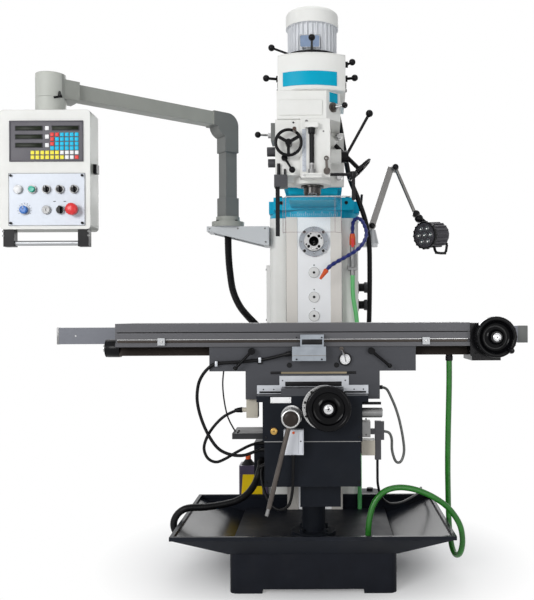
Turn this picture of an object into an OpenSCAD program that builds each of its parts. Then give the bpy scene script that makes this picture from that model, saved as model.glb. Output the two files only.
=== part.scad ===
// Knee-type universal milling machine. Millimetres, +Z up, +Y away from the operator.
// The origin is on the floor, at the middle of the four anchor holes.

/* [Base and tray] */
// Width of the plinth
base_w = 640; // [560:10:760]
// Length of the plinth, front to back
base_l = 1050; // [980:10:1200]
// Height of the plinth deck
base_h = 168; // [140:2:200]
// Diameter of the four anchor holes
anchor_d = 22; // [16:1:30]
// Width of the chip tray over its rim
tray_w = 1076; // [960:4:1160]
// Height of the chip tray rim
tray_top = 232; // [215:1:260]

/* [Column] */
// Width of the column body
column_w = 414; // [390:2:460]
// Depth of the column body
column_d = 379; // [340:1:380]
// Height of the column top above the floor
column_top = 1513; // [1500:1:1540]
// Width of the vertical way on the column front
way_w = 254; // [230:2:280]
// Height of the horizontal spindle axis
arbor_z = 1400; // [1390:1:1410]

/* [Knee and saddle] */
// Width of the knee
knee_w = 376; // [350:2:400]
// Height of the raised centre guide of the knee
knee_top = 783; // [775:1:790]
// Width of the lower saddle block
saddle_w = 520; // [490:2:560]
// Length of the upper saddle block along the table
saddle_l = 800; // [720:4:840]
// Sliding clearance between guided pieces
slide_gap = 0.3; // [0.2:0.05:0.5]

/* [Table] */
// Table length
table_l = 1371; // [1270:1:1400]
// Table width
table_w = 300; // [290:2:320]
// Height of the working face
table_top = 1030; // [1025:1:1035]
// Width of a T-slot throat
slot_w = 16; // [12:1:18]
// Spacing of the T-slots
slot_pitch = 70; // [63:1:80]

/* [Head] */
// Distance of the vertical spindle axis in front of the base middle
spindle_y = -335; // [-345:1:-325]
// Diameter of the quill
quill_d = 92; // [86:2:100]
// Diameter of the spindle nose
nose_d = 69.8; // [60:0.1:75]
// Diameter of the motor body
motor_d = 207; // [190:1:215]
// Height of the motor with its cover above the belt housing
motor_h = 243; // [230:1:256]
// Width of the belt housing
housing_w = 268; // [250:2:280]

/* [Control arm] */
// Width of the control box
box_w = 353; // [320:1:380]
// Height of the control box
box_h = 466; // [440:2:480]
// Depth of the control box
box_d = 110; // [100:1:130]
// Side of the arm tube
arm_h = 60; // [50:1:80]

/* [Hidden] */
$fn = 48;
white = "WhiteSmoke";
black = [0.10, 0.10, 0.12];
dark = [0.14, 0.15, 0.18];
iron = [0.38, 0.37, 0.38];
grey = [0.56, 0.57, 0.55];
blue = [0.0, 0.52, 0.65];
steel = [0.75, 0.75, 0.76];
brass = [0.70, 0.55, 0.25];
cut = 1;
gap = 0.3;
run = 0.1;
// Places shared by several pieces
way_y = 89;
body_y = 130;
column_back = body_y + column_d;
base_front = -base_l / 2;
tray_front = base_front - 60;
tray_back = 124;
foot_w = 126;
foot_l = 150;
foot_rise = 16;
deck = 24;
base_wall = 22;
anchor_x = base_w / 2 - 45;
anchor_y = base_l / 2 - 45;
screw_y = -335;
nut_d = 94;
nut_top = 333;
knee_front = -560;
knee_floor = 413;
knee_split = 584;
shoulder_z = 756;
shoulder_low = 733;
shoulder_x = 211;
guide_x = 118;
saddle_front = -475;
saddle_back = -160;
saddle_mid = 844;
saddle_top = 939;
table_front = -485;
table_back = table_front + table_w;
table_mid = (table_front + table_back) / 2;
table_x0 = -762;
table_x1 = table_x0 + table_l;
table_low = 903;
table_under = saddle_top + slide_gap;
tail_w = 150;
tail_flare = 18;
turret_z = column_top + gap;
turret_top = column_top + 92;
turret_y = body_y + column_d / 2;
ram_z = column_top + 47;
ram_w = 250;
ram_front = -160;
ram_back = 600;
pivot_z = ram_z + 152;
flange_y = ram_front - 30;
head_low = pivot_z - 128;
head_mid = head_low + 246;
gear_top = head_mid + 112;
belt_top = gear_top + 145;
collar_h = 41;
head_top = belt_top + motor_h;
cover_z = head_top - 68;
belt_z = gear_top + 48;
motor_y = spindle_y + 130;
quill_low = head_low - 8;
quill_high = head_mid - 30;
nose_low = head_low - 33;
post_x = -400;
post_y = 135;
bracket_z = column_top - 41;
arm_z = 1962;
hub_x = -1035;
hub_y = -402;
box_top = 1866;
box_front = hub_y - box_d / 2;
box_x0 = hub_x - 5 - box_w / 2;
face_z0 = box_top - box_h;
plate_t = 4;
face_y = box_front - plate_t;
lamp_x = 275;
lamp_y = 215;
lamp_z = column_top - 28;
elbow = [385, 215, 1758];
lamp_joint = [480, 195, 1535];

module slab(x0, x1, y0, y1, z0, z1) {
    translate([x0, y0, z0]) cube([x1 - x0, y1 - y0, z1 - z0]);
}
module rod_x(d, x0, x1, y, z) {
    translate([x0, y, z]) rotate([0, 90, 0]) cylinder(d = d, h = x1 - x0);
}
module rod_y(d, y0, y1, x, z) {
    translate([x, y0, z]) rotate([-90, 0, 0]) cylinder(d = d, h = y1 - y0);
}
module rod_z(d, z0, z1, x, y) {
    translate([x, y, z0]) cylinder(d = d, h = z1 - z0);
}
module cone_z(d0, d1, z0, z1, x, y) {
    translate([x, y, z0]) cylinder(d1 = d0, d2 = d1, h = z1 - z0);
}
module link(p, q, d) {
    v = q - p;
    len = norm(v);
    translate(p) rotate([0, acos(v[2] / len), atan2(v[1], v[0])]) cylinder(d = d, h = len);
}
module ball(p, d) {
    translate(p) sphere(d = d);
}
module knob(p, q, d) {
    v = q - p;
    len = norm(v);
    translate(p) rotate([0, acos(v[2] / len), atan2(v[1], v[0])]) translate([0, 0, len]) sphere(d = d);
}
module ball_lever(p, q, rod_d, ball_d) {
    link(p, q, rod_d);
    knob(p, q, ball_d);
}
module rounded(w, l, r) {
    union() {
        translate([r, 0]) square([w - 2 * r, l]);
        translate([0, r]) square([w, l - 2 * r]);
        for (x = [r, w - r], y = [r, l - r]) translate([x, y]) circle(r);
    }
}
module block(x0, x1, y0, y1, z0, z1, r) {
    translate([x0, y0, z0]) linear_extrude(z1 - z0) rounded(x1 - x0, y1 - y0, r);
}
module panel(x0, x1, z0, z1, y0, y1, r) {
    translate([x0, y1, z0]) rotate([90, 0, 0]) linear_extrude(y1 - y0) rounded(x1 - x0, z1 - z0, r);
}
module bar_x(outline, x0, x1) {
    translate([x0, 0, 0]) rotate([90, 0, 90]) linear_extrude(x1 - x0) polygon(outline);
}
module bar_y(outline, y0, y1) {
    translate([0, y1, 0]) rotate([90, 0, 0]) linear_extrude(y1 - y0) polygon(outline);
}
module dished_wheel(d, t, hub_d, hub_t, eye_d) {
    rim = 16;
    web = 9;
    eye_t = 6;
    difference() {
        union() {
            rotate([90, 0, 0]) cylinder(d = d, h = t);
            rotate([90, 0, 0]) cylinder(d = hub_d, h = hub_t);
        }
        translate([0, -web, 0]) rotate([90, 0, 0]) difference() {
            cylinder(d = d - 2 * rim, h = t);
            translate([0, 0, -cut]) cylinder(d = hub_d, h = t + 2 * cut);
        }
    }
    translate([0, -hub_t, 0]) rotate([90, 0, 0]) difference() {
        cylinder(d = eye_d, h = eye_t);
        translate([0, 0, eye_t / 2]) cylinder(d = eye_d / 3, h = eye_t);
    }
}
module base_casting() {
    top_hole = 60;
    color(dark) difference() {
        block(-base_w / 2, base_w / 2, base_front, -base_front, 0, base_h, 30);
        slab(base_wall - base_w / 2, base_w / 2 - base_wall, base_front + foot_l, -base_front - foot_l,
            -cut, base_h - deck);
        slab(foot_w - base_w / 2, base_w / 2 - foot_w, base_front + base_wall, -base_front - base_wall,
            -cut, base_h - deck);
        slab(foot_w - base_w / 2, base_w / 2 - foot_w, base_front - cut, cut - base_front, -cut, foot_rise);
        slab(-base_w / 2 - cut, base_w / 2 + cut, base_front + foot_l, -base_front - foot_l,
            -cut, foot_rise);
        for (x = [-anchor_x, anchor_x], y = [-anchor_y, anchor_y]) rod_z(anchor_d, -cut, base_h + cut, x, y);
        rod_z(top_hole, base_h - deck - cut, base_h + cut, 0, screw_y);
    }
}
module tray_form(inset, z0, z1) {
    thin = 0.5;
    slope_low = 4 - inset;
    hull() {
        slab(-base_w / 2 - slope_low, base_w / 2 + slope_low, base_front - slope_low, tray_back - inset,
            z0, z0 + thin);
        slab(inset - tray_w / 2 + 6, tray_w / 2 - 6 - inset, tray_front + inset + 6, tray_back - inset,
            z1 - thin, z1);
    }
}
module chip_tray() {
    sheet = 4;
    low = base_h - 16;
    lip_h = 15;
    lip_t = 14;
    clear = 2;
    color(black) difference() {
        union() {
            tray_form(0, low, tray_top - lip_h);
            slab(-tray_w / 2, tray_w / 2, tray_front, tray_back, tray_top - lip_h, tray_top);
        }
        tray_form(sheet, low - cut, tray_top - lip_h + cut);
        slab(lip_t - tray_w / 2, tray_w / 2 - lip_t, tray_front + lip_t, tray_back - lip_t,
            tray_top - lip_h - cut, tray_top + cut);
        slab(-base_w / 2, base_w / 2, base_front, -base_front, low - 2 * cut, base_h);
        slab(-column_w / 2 - clear, column_w / 2 + clear, body_y - 7 - clear, column_back, base_h - cut,
            tray_top + cut);
        slab(-way_w / 2 - clear, way_w / 2 + clear, way_y - clear, column_back, base_h - cut, tray_top + cut);
    }
}
module column() {
    wall = 20;
    foot = 40;
    neck = 15;
    tube_d = 150;
    bore_d = 100;
    seat_d = 90;
    recess = 76;
    recess_t = 3;
    color(white) difference() {
        union() {
            difference() {
                block(-column_w / 2, column_w / 2, body_y, column_back, base_h, column_top, 34);
                block(wall - column_w / 2, column_w / 2 - wall, body_y + wall, column_back - wall,
                    base_h + foot, column_top - foot, 14);
            }
            slab(-way_w / 2, way_w / 2, way_y, body_y + cut, base_h, column_top);
            rod_y(tube_d, way_y + 10, column_back - cut, 0, arbor_z);
        }
        for (side = [-1, 1]) {
            x0 = min(side * (way_w / 2 - neck), side * (way_w / 2 + neck));
            slab(x0, x0 + 2 * neck, body_y - 18, body_y, base_h - cut, column_top + cut);
        }
        slab(-recess, recess, way_y - cut, way_y + recess_t, base_h - cut, column_top + cut);
        rod_y(bore_d, way_y - cut, column_back + cut, 0, arbor_z);
        rod_z(seat_d, column_top - foot - cut, column_top + cut, 0, turret_y);
    }
}
module lift_pedestal() {
    bore = 52;
    flange_d = 182;
    flange_t = 26;
    bolt_d = 18;
    ring = 68;
    color(black) {
        difference() {
            union() {
                rod_z(nut_d, base_h, nut_top, 0, screw_y);
                rod_z(flange_d, base_h, base_h + flange_t, 0, screw_y);
            }
            rod_z(bore, base_h - cut, nut_top + cut, 0, screw_y);
        }
        for (a = [45:90:315]) rod_z(bolt_d, base_h + flange_t, base_h + flange_t + 12,
            ring * cos(a), screw_y + ring * sin(a));
    }
}
module round_cover(z) {
    d = 50;
    t = 5;
    face = way_y + 3;
    color(white) difference() {
        rod_y(d, face - t, face, 0, z);
        rod_y(12, face - t - cut, face - t + 2, 0, z);
    }
    color(black) rod_y(11, face - t + 2 - 3, face - t + 2, 0, z);
    color(black) rod_y(6, face - 2, face, 0, z + 34);
}
module column_covers() {
    ring_d = 137;
    ring_t = 12;
    nose_hole = 92;
    bolt_pitch = 43;
    door_t = 20;
    vent_n = 6;
    slit = 0.3;
    guard_w = 300;
    guard_t = 8;
    guard_low = arbor_z - 260;
    guard_top = arbor_z + 70;
    guard_back = column_back + 90;
    access = 90;
    face = way_y + 3;
    color(steel) difference() {
        rod_y(ring_d, face - ring_t, face, 0, arbor_z);
        rod_y(nose_hole, face - ring_t - cut, face + cut, 0, arbor_z);
        slab(-slit / 2, slit / 2, face - ring_t - cut, face + cut, arbor_z - ring_d, arbor_z + ring_d);
        slab(-ring_d, ring_d, face - ring_t - cut, face + cut, arbor_z - slit / 2, arbor_z + slit / 2);
    }
    color(black) for (x = [-bolt_pitch, bolt_pitch], z = [-bolt_pitch, bolt_pitch])
        rod_y(13, face - ring_t - 7, face - ring_t, x, arbor_z + z);
    for (drop = [142, 255, 342]) round_cover(arbor_z - drop);
    color(white) slab(-column_w / 2 - door_t, -column_w / 2, 200, 440, 780, 1300);
    color(grey) for (side = [0, 1]) mirror([side, 0, 0]) {
        slab(guard_w / 2 - guard_t, guard_w / 2, column_back, guard_back, guard_low, guard_top);
        slab(access / 2, guard_w / 2 - guard_t - slit, guard_back - guard_t, guard_back, guard_low,
            guard_top);
    }
    color(grey) for (z = [guard_low, guard_top - guard_t])
        slab(guard_t + slit - guard_w / 2, guard_w / 2 - guard_t - slit, column_back,
            guard_back - guard_t - slit, z, z + guard_t);
    color(white) difference() {
        slab(-165, 165, column_back, column_back + 14, 260, 1000);
        for (i = [0:vent_n - 1])
            slab(-90, 90, column_back - cut, column_back + 15, 320 + i * 24, 328 + i * 24);
    }
}
module column_brackets() {
    arm_x = -493;
    thick = 26;
    ring_d = 150;
    color(grey) {
        difference() {
            translate([0, post_y + 95, 0]) rotate([90, 0, 0]) linear_extrude(140)
                polygon([[arm_x, bracket_z], [-column_w / 2, bracket_z], [-column_w / 2, 1384],
                    [-column_w / 2 - 20, 1384], [arm_x + 8, 1449], [arm_x, 1449]]);
            slab(arm_x + thick, -column_w / 2 - thick, post_y - 30, post_y + 60, 1300, bracket_z - 14);
        }
        rod_z(ring_d, bracket_z, bracket_z + 24, post_x, post_y);
        rod_z(110, bracket_z + 24, bracket_z + 47, post_x, post_y);
        rod_z(50, bracket_z + 47, bracket_z + 120, post_x, post_y);
    }
    color(steel) {
        slab(column_w / 2, lamp_x + 25, lamp_y - 30, lamp_y + 30, 1386, 1402);
        cone_z(64, 34, 1402, lamp_z - 18 - gap, lamp_x, lamp_y);
    }
}
module lubricator() {
    x0 = -column_w / 2 - 149;
    x1 = -column_w / 2;
    y0 = 150;
    z0 = 186;
    tank_z = 358;
    cover_t = 3;
    cap_x = x0 + 40;
    color([0.36, 0.33, 0.42]) block(x0, x1 - 12, y0, y0 + 110, z0, tank_z, 8);
    color([0.9, 0.75, 0.2]) slab(x0 + 18, x1 - 40, y0 - cover_t, y0, z0 + 10, z0 + 132);
    color(iron) slab(x1 - 12, x1, y0 + 10, y0 + 100, z0 + 20, tank_z + 60);
    color(steel) slab(x0 + 92, x1 - 12, y0 + 15, y0 + 95, tank_z, tank_z + 96);
    color(black) cone_z(66, 26, tank_z, tank_z + 26, cap_x, y0 + 40);
    color([0.9, 0.4, 0.1]) rod_z(26, tank_z + 26, tank_z + 48, cap_x, y0 + 40);
}
module coolant_manifold() {
    x = 178;
    y = 104;
    color(iron) slab(x - 22, x + 22, y - 4, body_y, 1270, 1282);
    color(steel) slab(x - 22, x + 22, y + 14, body_y, 1282, 1345);
    color(steel) difference() {
        rod_z(22, 1282, 1384, x, y);
        rod_z(12, 1282 - cut, 1384 + cut, x, y);
    }
    color(brass) rod_z(28, 1384, 1424, x, y);
    color([0.8, 0.2, 0.1]) {
        rod_y(12, y - 30, y - 14, x, 1404);
        slab(x - 6, x + 6, y - 36, y - 30, 1372, 1412);
    }
    color(steel) rod_z(24, 1245, 1270, x, y);
}
jet_path = [[178, 104, 1436], [179, 103, 1462], [181, 102, 1487], [189, 98, 1501], [201, 91, 1507],
    [214, 84, 1501], [225, 77, 1487], [233, 70, 1468], [239, 62, 1447], [239, 55, 1424],
    [232, 48, 1402], [220, 42, 1381], [203, 36, 1362], [182, 30, 1346], [159, 25, 1332],
    [136, 19, 1319], [113, 12, 1306], [91, 5, 1293], [70, -2, 1278], [55, -8, 1260]];
module coolant_jet() {
    bead = 20;
    waist = 0.68;
    last = len(jet_path) - 1;
    tip = [29, -18, 1223];
    color([0.9, 0.4, 0.1]) rod_z(24, 1424 + gap, 1436, 178, 104);
    color([0.1, 0.2, 0.5]) cord(jet_path, bead, 2, [0, 0, 1], unit(tip - jet_path[last]), waist);
    color([0.9, 0.4, 0.1]) link(jet_path[last], tip, 11);
}
module horizontal_spindle() {
    nose = 88.9;
    shaft = 70;
    mouth = 44.45;
    throat = 25;
    taper = 66;
    draw_d = 17;
    front = way_y - 22;
    back = column_back + 60;
    holes = 33.35;
    color(steel) difference() {
        union() {
            rod_y(nose, front, way_y + 30, 0, arbor_z);
            rod_y(shaft, way_y + 30, back, 0, arbor_z);
            rod_y(120, back - 50, back - 10, 0, arbor_z);
            rod_y(99, way_y + 40, way_y + 80, 0, arbor_z);
            rod_y(99, column_back - 60, column_back - 20, 0, arbor_z);
        }
        translate([0, front - cut, arbor_z]) rotate([-90, 0, 0])
            cylinder(d1 = mouth + 0.6, d2 = throat, h = taper);
        rod_y(draw_d, front - cut, back + cut, 0, arbor_z);
        for (a = [45:90:315]) rod_y(14, front - cut, front + 24, holes * cos(a), arbor_z + holes * sin(a));
    }
    color(steel) for (z = [arbor_z - 31, arbor_z + 31]) slab(-8, 8, front - 8, front, z - 8, z + 8);
}
module turret() {
    half = 216;
    top = turret_top;
    slot = ram_w / 2 - 20;
    color(blue) difference() {
        union() {
            rod_z(2 * half, turret_z, turret_z + 34, 0, turret_y);
            slab(-half + 30, half - 30, body_y - 28, column_back + 10, turret_z + 34, top);
            slab(-half, half, turret_y - 90, turret_y + 90, turret_z + 34, top);
        }
        bar_y([[-slot - gap, ram_z - gap], [slot + gap, ram_z - gap], [slot - 22 + gap, top + cut],
            [gap + 22 - slot, top + cut]], body_y - 40, column_back + 40);
        rod_z(40, turret_z - cut, ram_z, 0, turret_y);
    }
    color(black) {
        rod_x(20, half, half + 14, turret_y - 40, turret_z + 62);
        link([half + 9, turret_y - 40, turret_z + 62], [half + 14, turret_y - 60, turret_z + 130], 12);
    }
}
module ram() {
    slot = ram_w / 2 - 20;
    step = turret_top + gap;
    top = turret_top + 67;
    plate_r = 112;
    core = 24;
    bolt_r = 92;
    color(blue) {
        difference() {
            bar_y([[-slot, ram_z], [slot, ram_z], [slot - 22, step], [ram_w / 2, step], [ram_w / 2, top - 20],
                [ram_w / 2 - 20, top], [20 - ram_w / 2, top], [-ram_w / 2, top - 20], [-ram_w / 2, step],
                [22 - slot, step]], ram_front + 40, ram_back);
            slab(2 * core - slot, slot - 2 * core, ram_front + 90, ram_back + cut, ram_z + core, top - core);
        }
        slab(-105, 105, ram_front, ram_front + 40, ram_z + 20, pivot_z + 60);
        rod_y(2 * plate_r, ram_front - 14, ram_front, 0, pivot_z);
    }
    color(steel) for (a = [45:90:315])
        rod_y(24, ram_front, ram_front + 16, bolt_r * cos(a), pivot_z + bolt_r * sin(a));
}
module tilt_handwheel() {
    y = -225;
    rim_d = 115;
    tube = 12;
    color(black) translate([95, y, pivot_z + 61]) rotate([0, 135, 0]) {
        translate([0, 0, gap]) cylinder(d = 18, h = 146);
        translate([0, 0, 134]) cylinder(d = 34, h = 24);
        translate([0, 0, 146]) rotate_extrude() translate([rim_d / 2, 0]) circle(tube / 2);
        for (a = [30:120:270]) rotate([0, 0, a]) translate([8, -5, 142]) cube([rim_d / 2 - 8, 10, 8]);
    }
}
feed_z = head_low + 125;
module head_casting() {
    barrel = 150;
    bore = quill_d + 2 * run;
    back = ram_front - 14 - gap;
    flange_t = 24;
    flange_x = 132;
    color(white) difference() {
        union() {
            rod_z(barrel, head_low, head_mid, 0, spindle_y);
            slab(-barrel / 2, barrel / 2, spindle_y, back, head_low + 27, head_mid);
            slab(-flange_x, flange_x, back - flange_t, back, head_low + 21, head_mid);
            slab(-144, -45, -430, -262, head_low + 27, head_mid);
            slab(-45, 72, -445, spindle_y, head_low + 16, head_mid);
            translate([0, 0, head_mid]) linear_extrude(gear_top - head_mid)
                polygon([[-137, -440], [58, -440], [114, -384], [114, back], [-137, back]]);
            rod_x(60, 60, 118, -300, feed_z);
            link([50, -225, pivot_z + 106], [95, -225, pivot_z + 61], 36);
        }
        rod_z(bore, head_low - cut, quill_high + 8, 0, spindle_y);
        rod_z(70, quill_high, gear_top + cut, 0, spindle_y);
        slab(-9, 9, -446, spindle_y, head_low + 71, quill_high);
        slab(-137 + 24, 114 - 24, spindle_y, back - flange_t, head_mid + 20, gear_top - 20);
    }
}
module housing_outline(inset) {
    r = 250 - inset;
    intersection() {
        translate([inset - housing_w / 2, motor_y - 255]) square([housing_w - 2 * inset, 380 - inset]);
        translate([0, motor_y]) circle(r, $fn = 96);
    }
}
module belt_housing() {
    wall = 10;
    floor_t = 8;
    roof_t = 12;
    color(white) difference() {
        translate([0, 0, gear_top]) linear_extrude(belt_top - gear_top) housing_outline(0);
        translate([0, 0, gear_top + floor_t]) linear_extrude(belt_top - gear_top - floor_t - roof_t)
            housing_outline(wall);
        rod_z(70, gear_top - cut, gear_top + floor_t + cut, 0, spindle_y);
        rod_z(60, belt_top - roof_t - cut, belt_top + cut, 0, motor_y);
    }
    color(white) difference() {
        rod_z(motor_d + 32, belt_top, belt_top + collar_h - gap, 0, motor_y);
        rod_z(motor_d + 2 * gap, belt_top - cut, belt_top + collar_h, 0, motor_y);
    }
}
module drive_motor() {
    core = motor_d - 20;
    flange_t = 14;
    fin_t = 3.4;
    fin_n = 32;
    shell = motor_d + 14;
    r = shell / 2;
    color([0.72, 0.74, 0.77]) difference() {
        union() {
            rod_z(core, belt_top, cover_z, 0, motor_y);
            rod_z(motor_d, belt_top, belt_top + flange_t, 0, motor_y);
            for (i = [0:fin_n - 1]) translate([0, motor_y, belt_top + flange_t - cut])
                rotate([0, 0, i * 360 / fin_n]) translate([core / 2 - 4, -fin_t / 2, 0])
                    cube([(motor_d - core) / 2 + 4, fin_t, cover_z - belt_top - flange_t + cut]);
        }
        rod_z(26, belt_top - cut, belt_top + 60, 0, motor_y);
    }
    color(white) translate([0, motor_y, 0]) rotate_extrude($fn = 96) polygon([[0, cover_z], [r, cover_z],
        [r, head_top - 17], [r - 3, head_top - 9], [r - 10, head_top - 3], [r - 21, head_top - 0.5],
        [r - 33, head_top], [0, head_top]]);
    color([0.72, 0.74, 0.77]) translate([0, motor_y + motor_d / 2, belt_top + 78])
        slab(-40, 40, -12, 38, 0, 80);
}
module head_fittings() {
    rod_at = -460;
    z0 = head_low;
    plate_z = gear_top + 17;
    plate_h = 55;
    label_z = belt_top + 68;
    color(black) rod_z(12, z0 + 28, z0 + 206, 0, rod_at);
    color(steel) rod_z(28, z0 + 28, z0 + 44, 0, rod_at);
    color(steel) rod_z(18, z0 + 44, z0 + 62, 0, rod_at);
    color(black) rod_z(28, z0 + 184, z0 + 206, 0, rod_at);
    color(white) difference() {
        slab(-26, 26, -470, -445, z0 + 206, z0 + 228);
        rod_z(5, z0 + 216, z0 + 228 + cut, 0, rod_at);
    }
    color(white) slab(-40, 40, -474, -445, z0 + 10, z0 + 28);
    color(white) slab(-37, -22, -447, -445, z0 + 38, z0 + 204);
    color(white) slab(-128, 42, -444, -440, head_mid + 14, head_mid + 74);
    color(iron) slab(-148, -97, -446, -385, z0 - 20, z0 + 27);
    color(black) rod_z(13, z0 + 27, z0 + 71, -130, -438.2);
    color(black) rod_z(8, z0 + 27, z0 + 50, -106, -436);
    color(black) slab(-144, -128, -420, -408, z0 - 211, z0 - 20);
    color(grey) slab(-164, -144, -385, -285, z0 + 172, z0 + 244);
    color(grey) rod_x(38, -182, -144, -340, z0 + 138);
    color(grey) rod_x(34, -178, -144, -340, z0 + 92);
    color(steel) for (x = [-111, 111], z = [56, 228])
        rod_y(24, ram_front - 54, ram_front - 38 - gap, x, z0 + z);
    color(blue) intersection() {
        translate([0, 0, plate_z]) linear_extrude(plate_h) difference() {
            translate([0, motor_y]) circle(252.3, $fn = 96);
            translate([0, motor_y]) circle(250 + gap, $fn = 96);
        }
        slab(-113, 100, motor_y - 265, motor_y - 175, plate_z, plate_z + plate_h);
    }
    color(blue) translate([86, -412, head_mid + 70]) rotate([0, 0, 45]) slab(-22, 22, -2, 0, 0, 38);
    color(grey) slab(-49, 33, motor_y - motor_d / 2 - 3, motor_y - motor_d / 2, label_z, label_z + 51);
    color(black) {
        rod_x(12, 72, 163, -430, z0 + 29);
        rod_z(24, z0 + 18, z0 + 40, 163, -430);
    }
}
module drive_belt() {
    t = 6;
    h = 30;
    r0 = 50 + gap;
    r1 = 35 + gap;
    color(black) translate([0, 0, belt_z - h / 2]) linear_extrude(h) difference() {
        hull() {
            translate([0, spindle_y]) circle(r0 + t, $fn = 64);
            translate([0, motor_y]) circle(r1 + t, $fn = 64);
        }
        hull() {
            translate([0, spindle_y]) circle(r0, $fn = 64);
            translate([0, motor_y]) circle(r1, $fn = 64);
        }
    }
}
module pulley(r, y, bore) {
    h = 34;
    flange = 5;
    difference() {
        union() {
            rod_z(2 * r, belt_z - h / 2, belt_z + h / 2, 0, y);
            rod_z(2 * r + 14, belt_z - h / 2 - flange, belt_z - h / 2, 0, y);
            rod_z(2 * r + 14, belt_z + h / 2, belt_z + h / 2 + flange, 0, y);
        }
        rod_z(bore, belt_z - h, belt_z + h, 0, y);
    }
}
module motor_rotor() {
    color(iron) {
        pulley(35, motor_y, 20);
        rod_z(24, belt_z - 10, belt_top + 58, 0, motor_y);
    }
}
module spindle_pulley() {
    color(iron) pulley(50, spindle_y, 50 + 2 * run);
}
module vertical_spindle() {
    shaft = 50;
    mouth = 31.75;
    throat = 18;
    taper = 48;
    draw_d = 13;
    top = belt_top - 17;
    pcd = 54;
    color(steel) difference() {
        union() {
            rod_z(nose_d, nose_low, quill_low - gap, 0, spindle_y);
            rod_z(shaft, quill_low - gap, top, 0, spindle_y);
        }
        cone_z(mouth + 0.6, throat, nose_low - cut, nose_low + taper, 0, spindle_y);
        rod_z(draw_d, nose_low - cut, top + cut, 0, spindle_y);
        for (a = [45:90:315])
            rod_z(8.5, nose_low - cut, nose_low + 16, pcd / 2 * cos(a), spindle_y + pcd / 2 * sin(a));
    }
    color(steel) for (x = [-25, 25])
        slab(x - 6, x + 6, spindle_y - 8, spindle_y + 8, nose_low - 7, nose_low);
}
module quill() {
    color(steel) difference() {
        union() {
            rod_z(quill_d, quill_low, quill_high, 0, spindle_y);
            slab(-7, 7, -443, spindle_y, quill_high - 28, quill_high - 10);
        }
        rod_z(50 + 2 * run, quill_low - cut, quill_high + cut, 0, spindle_y);
    }
}
module quill_feed_lever() {
    root = [136, -300, feed_z];
    tip = root + [97, -28, 170];
    color(black) rod_x(48, 118 + gap, 148, -300, feed_z);
    color(black) link(root, tip, 12);
    color(black) knob(root, tip, 30);
}
module fine_feed_wheel() {
    x = -90;
    z = head_low + 148;
    rim_d = 99;
    y0 = -466;
    y1 = -430 - gap;
    color(black) {
        rod_y(26, y0 - 10, y1, x, z);
        translate([x, y0, z]) rotate([90, 0, 0]) rotate_extrude() translate([rim_d / 2, 0]) circle(6);
        for (a = [30:120:270]) translate([x, y0, z]) rotate([0, -a, 0]) translate([6, -4, -6])
            cube([rim_d / 2 - 6, 8, 12]);
    }
    color([0.35, 0.2, 0.12]) rod_y(15, y0 - 46, y0 - 2, x + 25, z + 43);
}
module quill_lock_lever() {
    x = 59;
    z = head_low + 39;
    tip = [57, -460, head_low + 87];
    color(steel) difference() {
        union() {
            rod_y(26, -459, -445 - gap, x, z);
            link([x, -454, z], tip, 9);
            rod_y(19, -464, -456, tip[0], tip[2]);
        }
        rod_y(9, -465, -455, tip[0], tip[2]);
    }
}
module range_lever() {
    face = [82, -416, head_mid + 50];
    tip = face + [48, -16, 5];
    out = [0.7071, -0.7071, 0];
    color(steel) link(face + gap * out, face + 8 * out, 38);
    color(steel) link(face + gap * out, face + 18 * out, 24);
    color(steel) link(face + 12 * out, tip, 8);
    color(black) knob(face + 12 * out, tip, 24);
}
module brake_ring() {
    z0 = belt_top + collar_h;
    t = 14;
    inner = motor_d + 4;
    outer = inner + 26;
    mid = z0 + t / 2;
    color(black) {
        difference() {
            rod_z(outer, z0, z0 + t, 0, motor_y);
            rod_z(inner, z0 - cut, z0 + t + cut, 0, motor_y);
        }
        ball_lever([0, motor_y - 112, mid], [2, motor_y - 241, mid + 12], 9, 27);
        ball_lever([-86, motor_y - 72, mid], [-163, motor_y - 130, mid + 10], 9, 27);
    }
}
module clutch_lever() {
    z = gear_top + 76;
    x0 = housing_w / 2 + gap;
    color(black) {
        rod_x(26, x0, x0 + 10, spindle_y, z);
        ball_lever([x0 + 6, spindle_y, z], [x0 + 39, spindle_y - 12, z], 11, 27);
        rod_x(26, -x0 - 10, -x0, spindle_y, z);
        ball_lever([-x0 - 6, spindle_y, z], [-x0 - 50, spindle_y - 12, z], 11, 27);
    }
}
module belt_lever() {
    y = motor_y - 193;
    z = belt_top - 32;
    x0 = housing_w / 2 + gap;
    color(black) {
        rod_x(24, x0, x0 + 10, y, z);
        ball_lever([x0 + 6, y, z], [x0 + 27, y - 12, z + 6], 9, 26);
    }
}
module feed_rate_lever() {
    x0 = -164 - gap;
    root = [x0 - 10, -330, head_low + 208];
    tip = root + [-44, -22, -3];
    color(steel) {
        rod_x(26, x0 - 14, x0, -330, head_low + 208);
        link(root, tip, 9);
    }
    color(black) knob(root, tip, 25);
}
module feed_trip_lever() {
    root = [-107, -441, head_low + 93];
    color(black) {
        rod_y(24, -446, -430 - gap, root[0], root[2]);
        ball_lever(root, root + [31, -25, -51], 9, 25);
    }
}
module chip_guard() {
    x = 163;
    y = -430;
    top = head_low - 58;
    color(black) rod_z(14, top - 14, head_low + 18 - gap, x, y);
    color(steel) rod_x(6, -104, x, y, top + 1);
    color([0.8, 0.9, 0.95, 0.4]) translate([0, y, top - 140]) linear_extrude(140)
        polygon([[-118, 26], [-105, -2], [91, -2], [117, 26], [113, 26], [89, 2], [-103, 2], [-114, 26]]);
}
arm_turn = atan2(hub_y - post_y, hub_x - post_x);
arm_len = norm([hub_x - post_x, hub_y - post_y]);
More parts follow.
